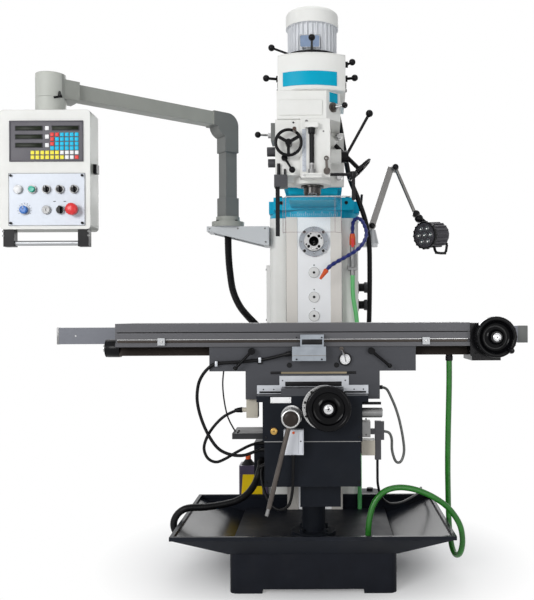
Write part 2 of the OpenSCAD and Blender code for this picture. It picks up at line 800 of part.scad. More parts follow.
module swing_arm() {
    pin = 50 + 2 * run;
    sleeve = 72;
    tube = 60;
    z0 = bracket_z + 47 + gap;
    hub_d = 117;
    hub_low = 1920;
    low = arm_z - arm_h / 2;
    high = arm_z + arm_h / 2;
    r = 56;
    color(grey) translate([post_x, post_y, 0]) rotate([0, 0, arm_turn]) {
        difference() {
            union() {
                slab(-sleeve / 2, sleeve / 2, -sleeve / 2, sleeve / 2, z0, 1607);
                slab(-tube / 2, tube / 2, -tube / 2, tube / 2, 1607, 1817);
            }
            rod_z(pin, z0 - cut, bracket_z + 121, 0, 0);
        }
        translate([0, sleeve / 2, 0]) rotate([90, 0, 0]) linear_extrude(sleeve) union() {
            polygon([[-36, 1817], [36, 1817], [36, low - 3], [96, low - 3], [96, high + 3],
                [r - 36, high + 3], [r - 36, high + 3 - r], [-36, high + 3 - r]]);
            translate([r - 36, high + 3 - r]) circle(r);
        }
        slab(96, arm_len - 62, -tube / 2, tube / 2, low, high);
        difference() {
            union() {
                slab(arm_len - 100, arm_len, -46, 46, hub_low, high + 6);
                rod_z(hub_d, hub_low, arm_z + 54, arm_len, 0);
            }
            rod_z(50 + 2 * run, hub_low - cut, hub_low + 60, arm_len, 0);
        }
    }
    color(black) {
        link([hub_x + 44, hub_y - 30, arm_z - 20], [hub_x + 62, hub_y - 66, arm_z - 48], 11);
        link([hub_x + 62, hub_y - 66, arm_z - 48], [hub_x + 36, hub_y - 72, arm_z - 53], 9);
    }
}
module control_box() {
    skin = 3;
    wire_way = 34;
    color(white) difference() {
        panel(box_x0, box_x0 + box_w, face_z0, box_top, box_front, box_front + box_d, 14);
        panel(box_x0 + skin, box_x0 + box_w - skin, face_z0 + skin, box_top - skin, box_front + skin,
            box_front + box_d - skin, 14 - skin);
        rod_z(wire_way, box_top - 2 * skin, box_top + cut, hub_x, hub_y);
    }
    color(grey) difference() {
        union() {
            rod_z(117, box_top, 1920 - gap, hub_x, hub_y);
            rod_z(50, 1920 - gap, 1975, hub_x, hub_y);
        }
        rod_z(wire_way, box_top - cut, 1975 + cut, hub_x, hub_y);
    }
    color(black) slab(box_x0 + box_w, box_x0 + box_w + 14, hub_y - 18, hub_y + 18, 1625, 1660);
}
row_a = 1554;
row_b = 1474;
module bezel(x, z, d, hole) {
    difference() {
        rod_y(d, face_y - 8, face_y, x, z);
        rod_y(hole, face_y - 8 - cut, face_y + cut, x, z);
    }
}
module control_face() {
    bar_z = 1347;
    bar_y_at = -437;
    left = box_x0 + 12;
    right = box_x0 + box_w - 8;
    color(iron) slab(-1177, -890, face_y, box_front, 1663, 1822);
    color([0.85, 0.88, 0.9]) slab(-1181, -883, face_y, box_front, 1413, 1618);
    color(steel) for (x = [-1171, -893], z = [1423, 1608]) rod_y(9, face_y - 3, face_y, x, z);
    color(steel) for (x = [-1087, -1032, -980, -925]) bezel(x, row_a, 34, 25);
    color(steel) bezel(-927, row_b, 38, 25);
    color(white) rod_y(30, face_y - 12, face_y, -1142, row_a);
    color(steel) rod_y(30, face_y - 10, face_y, -1032, row_b);
    color(black) rod_y(30, face_y - 8, face_y, -978, row_b);
    color(black) slab(-982, -974, face_y - 22, face_y - 8, row_b - 14, row_b + 14);
    for (x = [left, right - 42]) color(black) difference() {
        slab(x, x + 42, bar_y_at - 18, bar_y_at + 18, bar_z - 14, face_z0);
        rod_x(20, x - cut, x + 43, bar_y_at, bar_z);
    }
    color(steel) rod_x(20, left, right, bar_y_at, bar_z);
}
module start_button() {
    color([0.1, 0.6, 0.3]) rod_y(24, face_y - 16, face_y - 5, -1087, row_a);
}
module reset_knob() {
    color([0.1, 0.3, 0.7]) {
        rod_y(30, face_y - 18, face_y - gap, -1118, row_b);
        slab(-1120, -1116, face_y - 19, face_y - 17, row_b, row_b + 14);
    }
}
module stop_button() {
    color([0.8, 0.1, 0.1]) {
        rod_y(24, face_y - 20, face_y - 6, -927, row_b);
        rod_y(46, face_y - 34, face_y - 20, -927, row_b);
    }
}
module selector(x) {
    color(black) {
        rod_y(24, face_y - 12, face_y - gap, x, row_a);
        slab(x - 4, x + 4, face_y - 24, face_y - 12, row_a - 12, row_a + 12);
    }
}
module selector_a() {
    selector(-1032);
}
module selector_b() {
    selector(-980);
}
module selector_c() {
    selector(-925);
}
crank_x = -78;
crank_z = 682;
wheel_x = 60;
wheel_z = 713;
module knee() {
    back = way_y - slide_gap;
    hook = 15;
    web_z = 690;
    color(dark) difference() {
        union() {
            slab(-knee_w / 2, knee_w / 2, knee_front, back, knee_split, shoulder_low);
            slab(-shoulder_x, shoulder_x, knee_front, 60, shoulder_low, shoulder_z);
            slab(-guide_x, guide_x, knee_front, 60, shoulder_z, knee_top);
            slab(6 - knee_w / 2, knee_w / 2 - 6, knee_front + 5, -60, knee_floor, knee_split);
            slab(-knee_w / 2, knee_w / 2, -60, back, knee_floor, knee_split);
            for (side = [-1, 1]) {
                out = side * knee_w / 2;
                in = side * (way_w / 2 + slide_gap);
                tip = side * (way_w / 2 - hook + slide_gap);
                slab(min(out, in), max(out, in), back - cut, body_y - 0.7, knee_floor, shoulder_low);
                slab(min(tip, in), max(tip, in), body_y - 18 + slide_gap, body_y - 0.7, knee_floor,
                    shoulder_low);
            }
        }
        slab(-160, 160, knee_front + 30, -60, knee_floor + 14, web_z);
        slab(-160, 160, screw_y - 62, -60, knee_floor - cut, web_z);
    }
}
module knee_fittings() {
    y0 = knee_front;
    color(steel) {
        rod_y(168, y0 - 14, y0, 46, wheel_z);
        for (a = [130, 165, 205]) rod_y(8, y0 - 19, y0 - 14, 46 + 76 * cos(a), wheel_z + 76 * sin(a));
        rod_y(52, y0 - 20, y0, crank_x, crank_z);
    }
    color(grey) slab(-107, -33, y0 - 40, y0, 541, 633);
    color(black) rod_z(16, 525, 541, -72, y0 - 20);
    color([0.9, 0.5, 0.1]) rod_y(10, y0 - 43, y0 - 40, -70, 624);
    color(brass) rod_y(26, y0 - 6, y0, -145, 624);
    color(white) slab(-158, -80, y0 - 2, y0, 730, 752);
    color(iron) slab(-310, -knee_w / 2, -500, -326, 585, 607);
    color(black) slab(-255, 6 - knee_w / 2, -180, -60, 335, 520);
    color(steel) rod_x(38, knee_w / 2, 266, -490, 684);
    color(steel) slab(knee_w / 2, 222, -500, -440, 590, 650);
    color(steel) slab(240, 264, -479, -461, 500, 650);
    color(iron) slab(264, 276, -478, -462, 576, 648);
    color(iron) slab(222, 240, -478, -462, 598, 620);
    color(grey) slab(knee_w / 2, 240, -486, -426, 518, 576);
    color(black) rod_x(11, knee_w / 2, 262, -508, 722);
    color(black) slab(-49, 107, -500, -400, 324, knee_floor);
}
module lift_screw() {
    color(steel) rod_z(48, 130, 690, 0, screw_y);
}
module knee_crank() {
    y1 = knee_front - 20 - gap;
    tip = [-159, -656, 356];
    color(steel) {
        rod_y(68, -655, y1, crank_x, crank_z);
        link([crank_x, -646, crank_z], tip, 18);
    }
    color(brass) link(tip, tip + [-8, -1, -26], 14);
}
module cross_handwheel() {
    color(black) translate([wheel_x, knee_front - 14 - gap, wheel_z]) dished_wheel(156, 46, 50, 48, 35);
}
module saddle() {
    y0 = saddle_front;
    y1 = saddle_back;
    low = 735;
    g = slide_gap;
    color(iron) difference() {
        union() {
            slab(-saddle_w / 2, saddle_w / 2, y0, y1, low, saddle_mid);
            slab(-saddle_l / 2, saddle_l / 2, y0, table_back - 10, saddle_mid, saddle_top);
        }
        slab(-shoulder_x - g, shoulder_x + g, y0 - cut, y1 + cut, low - cut, shoulder_z + g);
        slab(-guide_x - g, guide_x + g, y0 - cut, y1 + cut, shoulder_z, knee_top + g);
        bar_x([[table_mid - tail_w / 2 - g, saddle_top + cut], [table_mid + tail_w / 2 + g, saddle_top + cut],
            [table_mid + tail_w / 2 + tail_flare + g, table_low - g],
            [table_mid - tail_w / 2 - tail_flare - g, table_low - g]],
            -saddle_l / 2 - cut, saddle_l / 2 + cut);
    }
}
module saddle_fittings() {
    y0 = saddle_front;
    g = slide_gap + 0.7;
    color(steel) bar_y([[-215, shoulder_z + g], [-guide_x - g, shoulder_z + g], [-guide_x - g, knee_top + g],
        [guide_x + g, knee_top + g], [guide_x + g, shoulder_z + g], [215, shoulder_z + g], [215, 790],
        [140, 790], [140, 826], [-128, 826], [-128, 790], [-215, 790]], y0 - 10, y0);
    color(brass) slab(-160, 165, y0 - 2, y0, 834, 841);
    color(steel) slab(-77, 50, y0 - 15, y0, 886, 934);
    color(steel) slab(-77, 52, y0 - 55, y0 - 15, 886, 940);
    color(steel) slab(-46, 44, y0 - 50, y0 - 18, 940, 986);
    color(white) rod_y(46, y0 - 12, y0, 126, 890);
    color(steel) link([112, y0 - 6, 930], [124, y0 - 24, 904], 8);
    color(black) rod_y(16, y0 - 8, y0, 112, 930);
    color(black) for (x = [-90, 93]) rod_y(20, y0 - 4, y0, x, 867);
    color(black) for (x = [-371, -203]) slab(x - 9, x + 9, y0 - 6, y0, 872, 884);
    color(steel) slab(-saddle_w / 2, 5 - shoulder_x - 9, -450, -390, 660, 735);
    color(black) rod_x(18, -saddle_w / 2 - 18, -saddle_w / 2, -430, 690);
    color(black) rod_x(16, saddle_w / 2, saddle_w / 2 + 14, -430, 776);
}
module lock_lever(x, z, tip_x, tip_z) {
    y0 = saddle_front - gap;
    color(black) {
        rod_y(26, y0 - 36, y0, x, z);
        ball_lever([x, y0 - 28, z], [tip_x, y0 - 36, tip_z], 11, 18);
    }
}
module table_lock_left() {
    lock_lever(-234, 922, -295, 858);
}
module table_lock_right() {
    lock_lever(227, 922, 296, 865);
}
module table() {
    throat = 18;
    tee_w = slot_w + 12;
    tee_h = 12;
    f = table_front;
    b = table_back;
    color(iron) difference() {
        bar_x([[f, table_under], [f, 955], [f + 10, 955], [f + 10, 966], [f, 966], [f, 993], [f + 4, 993],
            [f + 4, 997], [f, 997], [f, table_top], [b, table_top], [b, table_under],
            [table_mid + tail_w / 2, table_under], [table_mid + tail_w / 2 + tail_flare, table_low],
            [table_mid - tail_w / 2 - tail_flare, table_low], [table_mid - tail_w / 2, table_under]],
            table_x0, table_x1);
        for (i = [-1:1]) {
            y = table_mid + i * slot_pitch;
            slab(table_x0 - cut, table_x1 + cut, y - slot_w / 2, y + slot_w / 2, table_top - throat - 2,
                table_top + cut);
            slab(table_x0 - cut, table_x1 + cut, y - tee_w / 2, y + tee_w / 2, table_top - throat - tee_h,
                table_top - throat);
        }
    }
}
gear_x = table_x1 + 89;
gear_z = 974;
module table_fittings() {
    bar_x0 = table_x0 - 328;
    bar_x1 = table_x1 + 301;
    box_x1 = table_x1 + 126;
    color(grey) slab(bar_x0, bar_x1, table_back, table_back + 25, 942, 1012);
    color(black) rod_x(70, table_x0 - 58, table_x0, table_mid - 60, 932);
    color(steel) rod_x(30, table_x0 - 68, table_x0 - 58, table_mid - 60, 932);
    color(black) slab(table_x1, box_x1, table_front - 4, table_mid + 60, 900, table_top - 2);
    color(black) slab(table_x1 + 8, box_x1 - 6, table_front + 10, table_mid + 40, 882, 900);
    color(steel) rod_y(90, table_front - 18, table_front - 4, gear_x, gear_z);
    color(black) for (x = [-582, 438]) slab(x - 14, x + 14, table_front - 12, table_front, 946, 974);
    color(black) rod_z(26, 888, table_low, 541, -400);
}
module table_handwheel() {
    color(black) translate([gear_x, table_front - 18 - gap, gear_z]) dished_wheel(157, 38, 44, 46, 30);
    color(steel) rod_y(16, table_front - 104, table_front - 50, gear_x + 46, gear_z - 50);
}
arm_a = [367, lamp_y, 1762];
module lamp_lower_arm() {
    color(steel) {
        rod_y(36, lamp_y - 18, lamp_y + 18, lamp_x, lamp_z);
        translate([lamp_x, lamp_y, lamp_z]) rotate([0, atan2(arm_a[0] - lamp_x, arm_a[2] - lamp_z), 0])
            slab(-15, 15, -12, 12, 0, norm([arm_a[0] - lamp_x, arm_a[2] - lamp_z]));
        link(arm_a - [0, 0, 8], elbow, 26);
        rod_y(34, lamp_y - 14, lamp_y + 18, elbow[0], elbow[2]);
    }
}
module lamp_upper_arm() {
    y = lamp_y - 26;
    color(steel) {
        rod_y(30, y - 14, lamp_y - 14 - gap, elbow[0], elbow[2]);
        link([elbow[0], y, elbow[2]], [lamp_joint[0], y, lamp_joint[2]], 17);
    }
    color(black) rod_y(28, y - 14, y + 14, lamp_joint[0], lamp_joint[2]);
}
module lamp_head() {
    y = lamp_y - 40 - gap;
    face = [513, 130, 1431];
    aim = [0.70, 0.70, 0.10];
    back = face + 120 * aim;
    across = unit([-aim[1], aim[0], 0]);
    upward = unit(cross(aim, across));
    fins = 18;
    color(black) {
        rod_y(34, y - 16, y, lamp_joint[0], lamp_joint[2]);
        ball([lamp_joint[0] + 10, y - 32, lamp_joint[2] - 24], 40);
        link([lamp_joint[0], y - 8, lamp_joint[2]], [545, 165, 1478], 14);
    }
    color([0.33, 0.33, 0.34]) {
        link(face, face + 16 * aim, 126);
        link(face + 16 * aim, back, 110);
        for (i = [0:fins - 1]) let (a = 360 * i / fins, out = 56 * (cos(a) * across + sin(a) * upward))
            link(face + 15 * aim + out, face + 114 * aim + out, 9);
    }
    color(black) {
        link([560, 160, 1392], [572, 165, 1352], 9);
        link([572, 165, 1352], [622, 205, 1352], 9);
        link([622, 205, 1352], [632, 218, 1400], 9);
        link([632, 218, 1400], [598, 200, 1412], 9);
        for (p = [[572, 165, 1352], [622, 205, 1352], [632, 218, 1400]]) ball(p, 11);
    }
}
function spline(p0, p1, p2, p3, t) = 0.5 * (2 * p1 + (p2 - p0) * t
    + (2 * p0 - 5 * p1 + 4 * p2 - p3) * t * t + (3 * p1 - p0 - 3 * p2 + p3) * t * t * t);
function at(r, i) = r[max(0, min(len(r) - 1, i))];
function smooth(r, n) = concat([for (i = [0:len(r) - 2], k = [0:n - 1])
    spline(at(r, i - 1), r[i], r[i + 1], at(r, i + 2), k / n)], [r[len(r) - 1]]);
function unit(v) = v / norm(v);
function heading(r, i, a, b) = i == 0 ? a : i == len(r) - 1 ? b : unit(at(r, i + 1) - at(r, i - 1));
function side_of(h, s) = unit(s - (s * h) * h);
function sides(r, i, s, a, b) = i >= len(r) ? [] : let (v = side_of(heading(r, i, a, b), s))
    concat([v], sides(r, i + 1, v, a, b));
module cord(route, d, n, a, b, waist = 1) {
    ring = 8;
    r = smooth(route, n);
    first = abs(a[0]) > 0.5 ? [0, 1, 0] : [1, 0, 0];
    s = sides(r, 0, first, a, b);
    step = 360 / ring;
    pts = [for (i = [0:len(r) - 1], k = [0:ring - 1]) r[i] + d / 2 * (i % 2 == 1 ? waist : 1)
        * (cos(k * step) * s[i] + sin(k * step) * cross(heading(r, i, a, b), s[i]))];
    walls = [for (i = [0:len(r) - 2], k = [0:ring - 1], j = [0:1])
        let (k1 = (k + 1) % ring, p = i * ring, q = p + ring)
        j == 0 ? [p + k, q + k, q + k1] : [p + k, q + k1, p + k1]];
    last = (len(r) - 1) * ring;
    ends = concat([for (k = [1:ring - 2]) [0, k, k + 1]],
        [for (k = [1:ring - 2]) [last, last + k + 1, last + k]]);
    polyhedron(points = pts, faces = concat(walls, ends));
}
conduit_a = [[-400, 135, 1458], [-400, 135, 1400], [-398, 136, 1335], [-393, 138, 1270],
    [-380, 144, 1180], [-352, 158, 1110], [-318, 184, 1062], [-292, 236, 1030], [-272, 284, 1005],
    [-251, 306, 990], [-227, 310, 984]];
conduit_b = [[85, -80, 2010], [95, -40, 2000], [118, 20, 1930], [140, 70, 1820], [165, 105, 1700],
    [205, 118, 1600], [240, 140, 1500], [258, 165, 1400], [262, 190, 1280], [262, 215, 1130],
    [258, 240, 990], [240, 262, 920], [207, 270, 890]];
hose_a = [[178, 104, 1245], [180, 104, 1150], [196, 103, 1040], [206, 100, 900], [206, 98, 700],
    [206, 98, 500], [206, 98, 300], [206, 98, 168]];
module frame_cables() {
    color(black) cord(conduit_a, 34, 2, [0, 0, -1], [1, 0, 0]);
    color(black) cord(conduit_b, 24, 2, [0, 1, 0], [-1, 0, 0]);
    color([0.15, 0.4, 0.25]) cord(hose_a, 20, 2, [0, 0, -1], [0, 0, -1]);
}
conduit_c = [[-222, -180, 440], [-224, -206, 430], [-232, -224, 398], [-250, -231, 352],
    [-282, -238, 312], [-325, -249, 288], [-380, -260, 276], [-450, -285, 272], [-515, -298, 272],
    [-552, -298, 254], [-573, -296, 222], [-574, -292, 188], [-556, -284, 158], [-522, -270, 142],
    [-482, -254, 136], [-436, -236, 134], [-388, -218, 130], [-350, -206, 124], [-320, -202, 120]];
wire_a = [[-72, -580, 525], [-73, -580, 460], [-77, -577, 395], [-92, -568, 345],
    [-125, -552, 326], [-160, -532, 342], [-188, -500, 390], [-200, -470, 440], [-195, -445, 468],
    [-182, -440, 474]];
wire_b = [[250, -470, 500], [250, -469, 450], [252, -462, 400], [268, -430, 345], [305, -360, 303],
    [360, -260, 282], [415, -150, 276], [455, -50, 272], [482, 50, 268], [490, 120, 258],
    [486, 165, 215], [460, 195, 150], [410, 205, 108], [360, 205, 96], [320, 205, 94]];
module knee_cables() {
    color(black) cord(conduit_c, 30, 2, [0, -1, 0], [1, 0, 0]);
    color(black) cord(wire_a, 11, 3, [0, 0, -1], [1, 0, 0]);
    color(black) cord(wire_b, 10, 3, [0, 0, -1], [-1, 0, 0]);
}
lead_a = [[-77, -510, 915], [-110, -506, 908], [-160, -492, 896], [-203, -486, 888],
    [-290, -486, 880], [-371, -486, 874], [-408, -483, 852], [-436, -478, 812], [-447, -474, 768],
    [-447, -470, 718], [-432, -465, 655], [-405, -460, 592], [-370, -454, 542], [-326, -448, 518],
    [-274, -440, 512], [-222, -434, 528], [-182, -430, 536]];
lead_b = [[-278, -430, 690], [-304, -430, 686], [-352, -430, 662], [-392, -430, 622],
    [-418, -430, 580], [-429, -430, 538], [-415, -428, 500], [-384, -426, 484], [-350, -422, 494],
    [-300, -417, 522], [-240, -412, 550], [-182, -410, 558]];
lead_c = [[-349, -440, 844], [-353, -440, 790], [-347, -441, 724], [-332, -443, 660],
    [-304, -446, 607]];
lead_d = [[274, -430, 776], [292, -432, 766], [310, -436, 730], [326, -440, 690], [340, -444, 640],
    [352, -448, 575], [355, -451, 524], [342, -454, 488], [322, -456, 490], [308, -460, 532],
    [306, -465, 578], [296, -469, 602], [276, -470, 609]];
module saddle_cables() {
    color(black) cord(lead_a, 13, 2, [-1, 0, 0], [1, 0, 0]);
    color(black) cord(lead_b, 12, 3, [-1, 0, 0], [1, 0, 0]);
    color(white) cord(lead_c, 6, 4, [0, 0, -1], [0, 0, -1]);
    color(grey) cord(lead_d, 11, 3, [1, 0, 0], [-1, 0, 0]);
}
hose_b = [[541, -400, 888], [541, -399, 800], [540, -392, 700], [540, -372, 580], [544, -335, 450],
    [552, -290, 340], [558, -262, 250], [562, -262, 170], [567, -290, 108], [575, -335, 88],
    [585, -385, 112], [588, -418, 170], [572, -440, 240], [525, -455, 308], [460, -465, 355],
    [390, -472, 384], [325, -478, 392], [272, -483, 376], [236, -488, 336], [218, -492, 280],
    [212, -494, 225], [212, -495, 168]];
module drain_hose() {
    color([0.15, 0.4, 0.25]) cord(hose_b, 23, 2, [0, 0, -1], [0, 0, -1]);
}

base_casting();
chip_tray();
column();
lift_pedestal();
column_covers();
column_brackets();
lubricator();
coolant_manifold();
coolant_jet();
horizontal_spindle();
turret();
ram();
tilt_handwheel();
head_casting();
belt_housing();
drive_motor();
head_fittings();
drive_belt();
motor_rotor();
spindle_pulley();
vertical_spindle();
quill();
quill_feed_lever();
fine_feed_wheel();
quill_lock_lever();
range_lever();
brake_ring();
clutch_lever();
belt_lever();
feed_rate_lever();
feed_trip_lever();
chip_guard();
swing_arm();
control_box();
control_face();
start_button();
reset_knob();
stop_button();
selector_a();
selector_b();
selector_c();
knee();
knee_fittings();
lift_screw();
knee_crank();
cross_handwheel();
saddle();
saddle_fittings();
table_lock_left();
table_lock_right();
table();
table_fittings();
table_handwheel();
lamp_lower_arm();
lamp_upper_arm();
lamp_head();
frame_cables();
knee_cables();
saddle_cables();
drain_hose();
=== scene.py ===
import math
from itertools import product

import bmesh
import bpy
from mathutils import Matrix, Vector


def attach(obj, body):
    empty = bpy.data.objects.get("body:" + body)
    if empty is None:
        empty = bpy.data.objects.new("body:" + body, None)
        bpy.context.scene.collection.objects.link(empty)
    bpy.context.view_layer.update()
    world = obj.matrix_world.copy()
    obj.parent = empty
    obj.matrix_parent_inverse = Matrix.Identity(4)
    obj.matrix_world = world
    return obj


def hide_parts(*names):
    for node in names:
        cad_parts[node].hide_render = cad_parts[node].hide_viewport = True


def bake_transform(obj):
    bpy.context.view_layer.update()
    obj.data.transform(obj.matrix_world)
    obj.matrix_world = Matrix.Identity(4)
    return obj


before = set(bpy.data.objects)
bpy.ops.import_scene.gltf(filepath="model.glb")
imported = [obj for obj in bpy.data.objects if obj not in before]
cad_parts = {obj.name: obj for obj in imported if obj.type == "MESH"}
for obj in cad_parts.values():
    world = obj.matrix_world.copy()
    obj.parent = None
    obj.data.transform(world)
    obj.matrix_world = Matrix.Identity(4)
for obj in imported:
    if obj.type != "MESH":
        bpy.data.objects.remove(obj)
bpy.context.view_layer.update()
scene = bpy.context.scene
MM = 0.001
UP = (0, 0, 1)
DOWN = (0, 0, -1)
OUT = (0, -1, 0)
REAR = (0, 1, 0)
LEFT = (-1, 0, 0)
RIGHT = (1, 0, 0)

# Places on the CAD, in millimetres: x and z of what sits on a front, z of what sits on the middle
SPINDLE_Z = 1400
COVER_Z = (1258, 1145, 1058)
CRANK = (-78, 682)
DIAL = (46, 713)
CROSS_WHEEL = (60, 713)
TABLE_WHEEL = (698, 974)
GAUGE = (126, 890)
SQUARE = (45, 135, 225, 315)


def lin(c):
    c /= 255
    return c / 12.92 if c <= 0.04045 else ((c + 0.055) / 1.055) ** 2.4


def rgb(r, g, b):
    return (lin(r), lin(g), lin(b), 1)


# Camera, at the photograph's viewpoint: focal length and shifts are pixels of the photograph
PHOTO_WIDTH = 534
FOCAL = 777
SHIFT_X, SHIFT_Y = -57, 17
EYE = (0.045, -3.485, 1.053)
ROLL = -0.25
SENSOR = 36
cam_data = bpy.data.cameras.new("camera")
cam = bpy.data.objects.new("camera", cam_data)
scene.collection.objects.link(cam)
cam_data.sensor_fit = "HORIZONTAL"
cam_data.sensor_width = SENSOR
cam_data.lens = SENSOR * FOCAL / PHOTO_WIDTH
cam_data.shift_x = SHIFT_X / PHOTO_WIDTH
cam_data.shift_y = SHIFT_Y / PHOTO_WIDTH
cam.matrix_world = (
    Matrix.Translation(EYE)
    @ Matrix.Rotation(math.radians(90), 4, "X")
    @ Matrix.Rotation(math.radians(ROLL), 4, "Z")
)
scene.camera = cam


# Materials
WEAR = 0.35


def put(node, values):
    """Sets a shader node's inputs."""
    for key, v in values.items():
        node.inputs[key].default_value = v
    return node


def surface(name, col, rough=0.45, metal=0.0, vary=0.06, grain=14, bump=0.06, fine=500, edge=1.2, coat=0.0,
            worn=None, stretch=(1, 1, 1), dirt=None, soil=0.5, spec=0.5):
    """A material with broad colour noise, soft edges, a fine bump and, where asked, dirt and worn edges."""
    m = bpy.data.materials.new(name)
    m.use_nodes = True
    n = m.node_tree.nodes
    link = m.node_tree.links.new
    out = put(n["Principled BSDF"], {"Metallic": metal, "Specular IOR Level": spec, "Coat Weight": coat,
                                     "Coat Roughness": 0.12})
    where = n.new("ShaderNodeTexCoord")
    place = put(n.new("ShaderNodeMapping"), {"Scale": stretch})
    link(where.outputs["Object"], place.inputs["Vector"])

    def noise(scale, detail):
        t = put(n.new("ShaderNodeTexNoise"), {"Scale": scale, "Detail": detail})
        link(place.outputs["Vector"], t.inputs["Vector"])
        return t.outputs["Fac"]

    def span(x, a, b, c, d):
        r = put(n.new("ShaderNodeMapRange"), {"From Min": a, "From Max": b, "To Min": c, "To Max": d})
        link(x, r.inputs["Value"])
        return r.outputs["Result"]

    def mix(fac, a, b):
        x = n.new("ShaderNodeMix")
        x.data_type = "RGBA"
        link(fac, x.inputs["Factor"])
        for key, v in (("A", a), ("B", b)):
            socket = [s for s in x.inputs if s.name == key and s.type == "RGBA"][0]
            if isinstance(v, tuple):
                socket.default_value = v
            else:
                link(v, socket)
        return [s for s in x.outputs if s.type == "RGBA"][0]

    def round_edge(radius):
        bevel = put(n.new("ShaderNodeBevel"), {"Radius": radius * MM})
        bevel.samples = 4
        return bevel.outputs["Normal"]

    broad = noise(grain, 5)
    low = tuple(c * (1 - vary) for c in col[:3]) + (1,)
    high = tuple(min(1, c * (1 + vary)) for c in col[:3]) + (1,)
    colour = mix(span(broad, 0.3, 0.7, 0, 1), low, high)
    if dirt:
        colour = mix(span(noise(grain * 0.6, 8), 0.52, 0.78, 0, soil), colour, dirt)
    if worn:
        flat = n.new("ShaderNodeNewGeometry")
        dot = n.new("ShaderNodeVectorMath")
        dot.operation = "DOT_PRODUCT"
        link(round_edge(edge * 1.6), dot.inputs[0])
        link(flat.outputs["Normal"], dot.inputs[1])
        mask = n.new("ShaderNodeMath")
        mask.operation = "MULTIPLY"
        link(span(dot.outputs["Value"], 0.97, 0.8, 0, 1), mask.inputs[0])
        link(span(noise(grain * 4, 4), 0.42, 0.6, 0, WEAR), mask.inputs[1])
        colour = mix(mask.outputs["Value"], colour, worn)
    link(colour, out.inputs["Base Color"])
    link(span(broad, 0.25, 0.75, rough * 0.85, min(1, rough * 1.15)), out.inputs["Roughness"])
    relief = put(n.new("ShaderNodeBump"), {"Strength": bump, "Distance": 0.0006})
    link(noise(fine, 3), relief.inputs["Height"])
    link(round_edge(edge), relief.inputs["Normal"])
    link(relief.outputs["Normal"], out.inputs["Normal"])
    return m


def plain(name, r, g, b, rough=0.4, vary=0.03, bump=0.05, edge=1, spec=0.3, **more):
    """A surface without metal, dirt or wear: plastic, rubber or clean paint."""
    return surface(name, rgb(r, g, b), rough, vary=vary, bump=bump, edge=edge, spec=spec, **more)


def casting(name, col, worn, rough=0.42, vary=0.03, bump=0.14, fine=320, spec=0.2, edge=3, dirt=None, **more):
    """Paint on a casting, worn at the edges."""
    return surface(name, rgb(*col), rough, vary=vary, bump=bump, fine=fine, spec=spec, edge=edge,
                   worn=rgb(*worn), dirt=dirt and rgb(*dirt), **more)


WHITE = casting("white_paint", (230, 230, 226), (196, 194, 188), 0.5, 0.015, 0.1, 260, 0.14, 2.5,
                dirt=(216, 214, 208), soil=0.35)
# A lighter copy of the white paint for the column's front face: painted light against the shade that falls on
# it
LIT_FRONT = plain("column_face_painted_light", 246, 247, 248, 0.5, 0.03, 0.1, 2.5, 0.14, grain=5, fine=260)
WAY = surface("way_iron", rgb(206, 202, 196), 0.36, 0.25, vary=0.05, grain=9, bump=0.08, fine=120,
              stretch=(1, 1, 0.12), dirt=rgb(180, 174, 168))
TRIM = plain("cover_paint", 230, 230, 228, 0.5, 0.02, 0.08, 2, 0.14)
GREY = casting("grey_paint", (150, 152, 146), (180, 180, 174))
# A lighter copy of the grey paint for the swing arm's hub and the control box's neck: painted light where the
# lamps fall strongly on them
NECK_LIT = plain("neck_grey_painted_light", 186, 188, 181, 0.42, 0.03, 0.12, 3, 0.2, fine=320)
BRACKET = casting("bracket_paint", (192, 195, 197), (210, 210, 206), bump=0.12, spec=0.35)
POST = casting("post_paint", (112, 114, 112), (146, 146, 142))
BLUE = casting("blue_paint", (0, 166, 200), (80, 176, 196), 0.4, 0.05, 0.12, 240, 0.15)
PLATE = plain("blue_plate", 0, 160, 192, 0.36, 0.04, 0.03, 1.2, 0.12)
DARK = casting("plinth_paint", (25, 27, 33), (74, 74, 76), 0.5, 0.12, 0.16, 190, 0.07, dirt=(36, 36, 39))
TRAY = casting("tray_paint", (24, 27, 34), (80, 84, 88), 0.24, 0.18, 0.1, 130, 0.12, dirt=(46, 46, 47),
               grain=6)
KNEE = casting("knee_paint", (24, 27, 33), (70, 72, 74), 0.46, 0.12, 0.14, 200, 0.07, dirt=(34, 36, 39))
IRON = surface("scraped_iron", rgb(66, 67, 71), 0.4, 0.4, vary=0.1, grain=10, bump=0.12, fine=160, spec=0.2,
               stretch=(0.25, 1, 1), dirt=rgb(58, 58, 61), worn=rgb(140, 140, 141), edge=1.6)
TABLE = surface("table_iron", rgb(86, 86, 89), 0.4, 0.4, vary=0.09, grain=8, bump=0.1, fine=180, spec=0.2,
                stretch=(0.08, 1, 1), dirt=rgb(68, 67, 68), worn=rgb(150, 149, 148))
TAIL = surface("oily_way", rgb(58, 52, 48), 0.32, 0.4, vary=0.16, grain=12, stretch=(0.15, 1, 1), spec=0.3)
STEEL = surface("ground_steel", rgb(186, 186, 186), 0.28, 0.9, vary=0.05, grain=20, bump=0.05, fine=700,
                worn=rgb(220, 220, 220), edge=0.8)
DULL = surface("dull_steel", rgb(128, 128, 128), 0.4, 0.7, vary=0.1, grain=24, bump=0.1, fine=400,
               dirt=rgb(94, 92, 90), edge=1)
SHAFT = surface("oiled_steel", rgb(84, 78, 74), 0.3, 0.6, vary=0.16, grain=18, bump=0.08, fine=300,
                dirt=rgb(54, 49, 46), edge=1, spec=0.3)
CHROME = surface("chrome", rgb(212, 212, 214), 0.12, 1.0, vary=0.02, bump=0.02, edge=0.6)
ALU = surface("anodised", rgb(164, 166, 168), 0.36, 0.6, vary=0.04, grain=30, bump=0.05, fine=600, edge=1)
WIPER = surface("wiper_frame", rgb(192, 195, 200), 0.4, 0.3, vary=0.05, grain=20, edge=1)
SCALE = surface("scale_bar", rgb(106, 108, 114), 0.4, 0.3, vary=0.04, grain=10, bump=0.05, spec=0.2,
                stretch=(0.2, 1, 1))
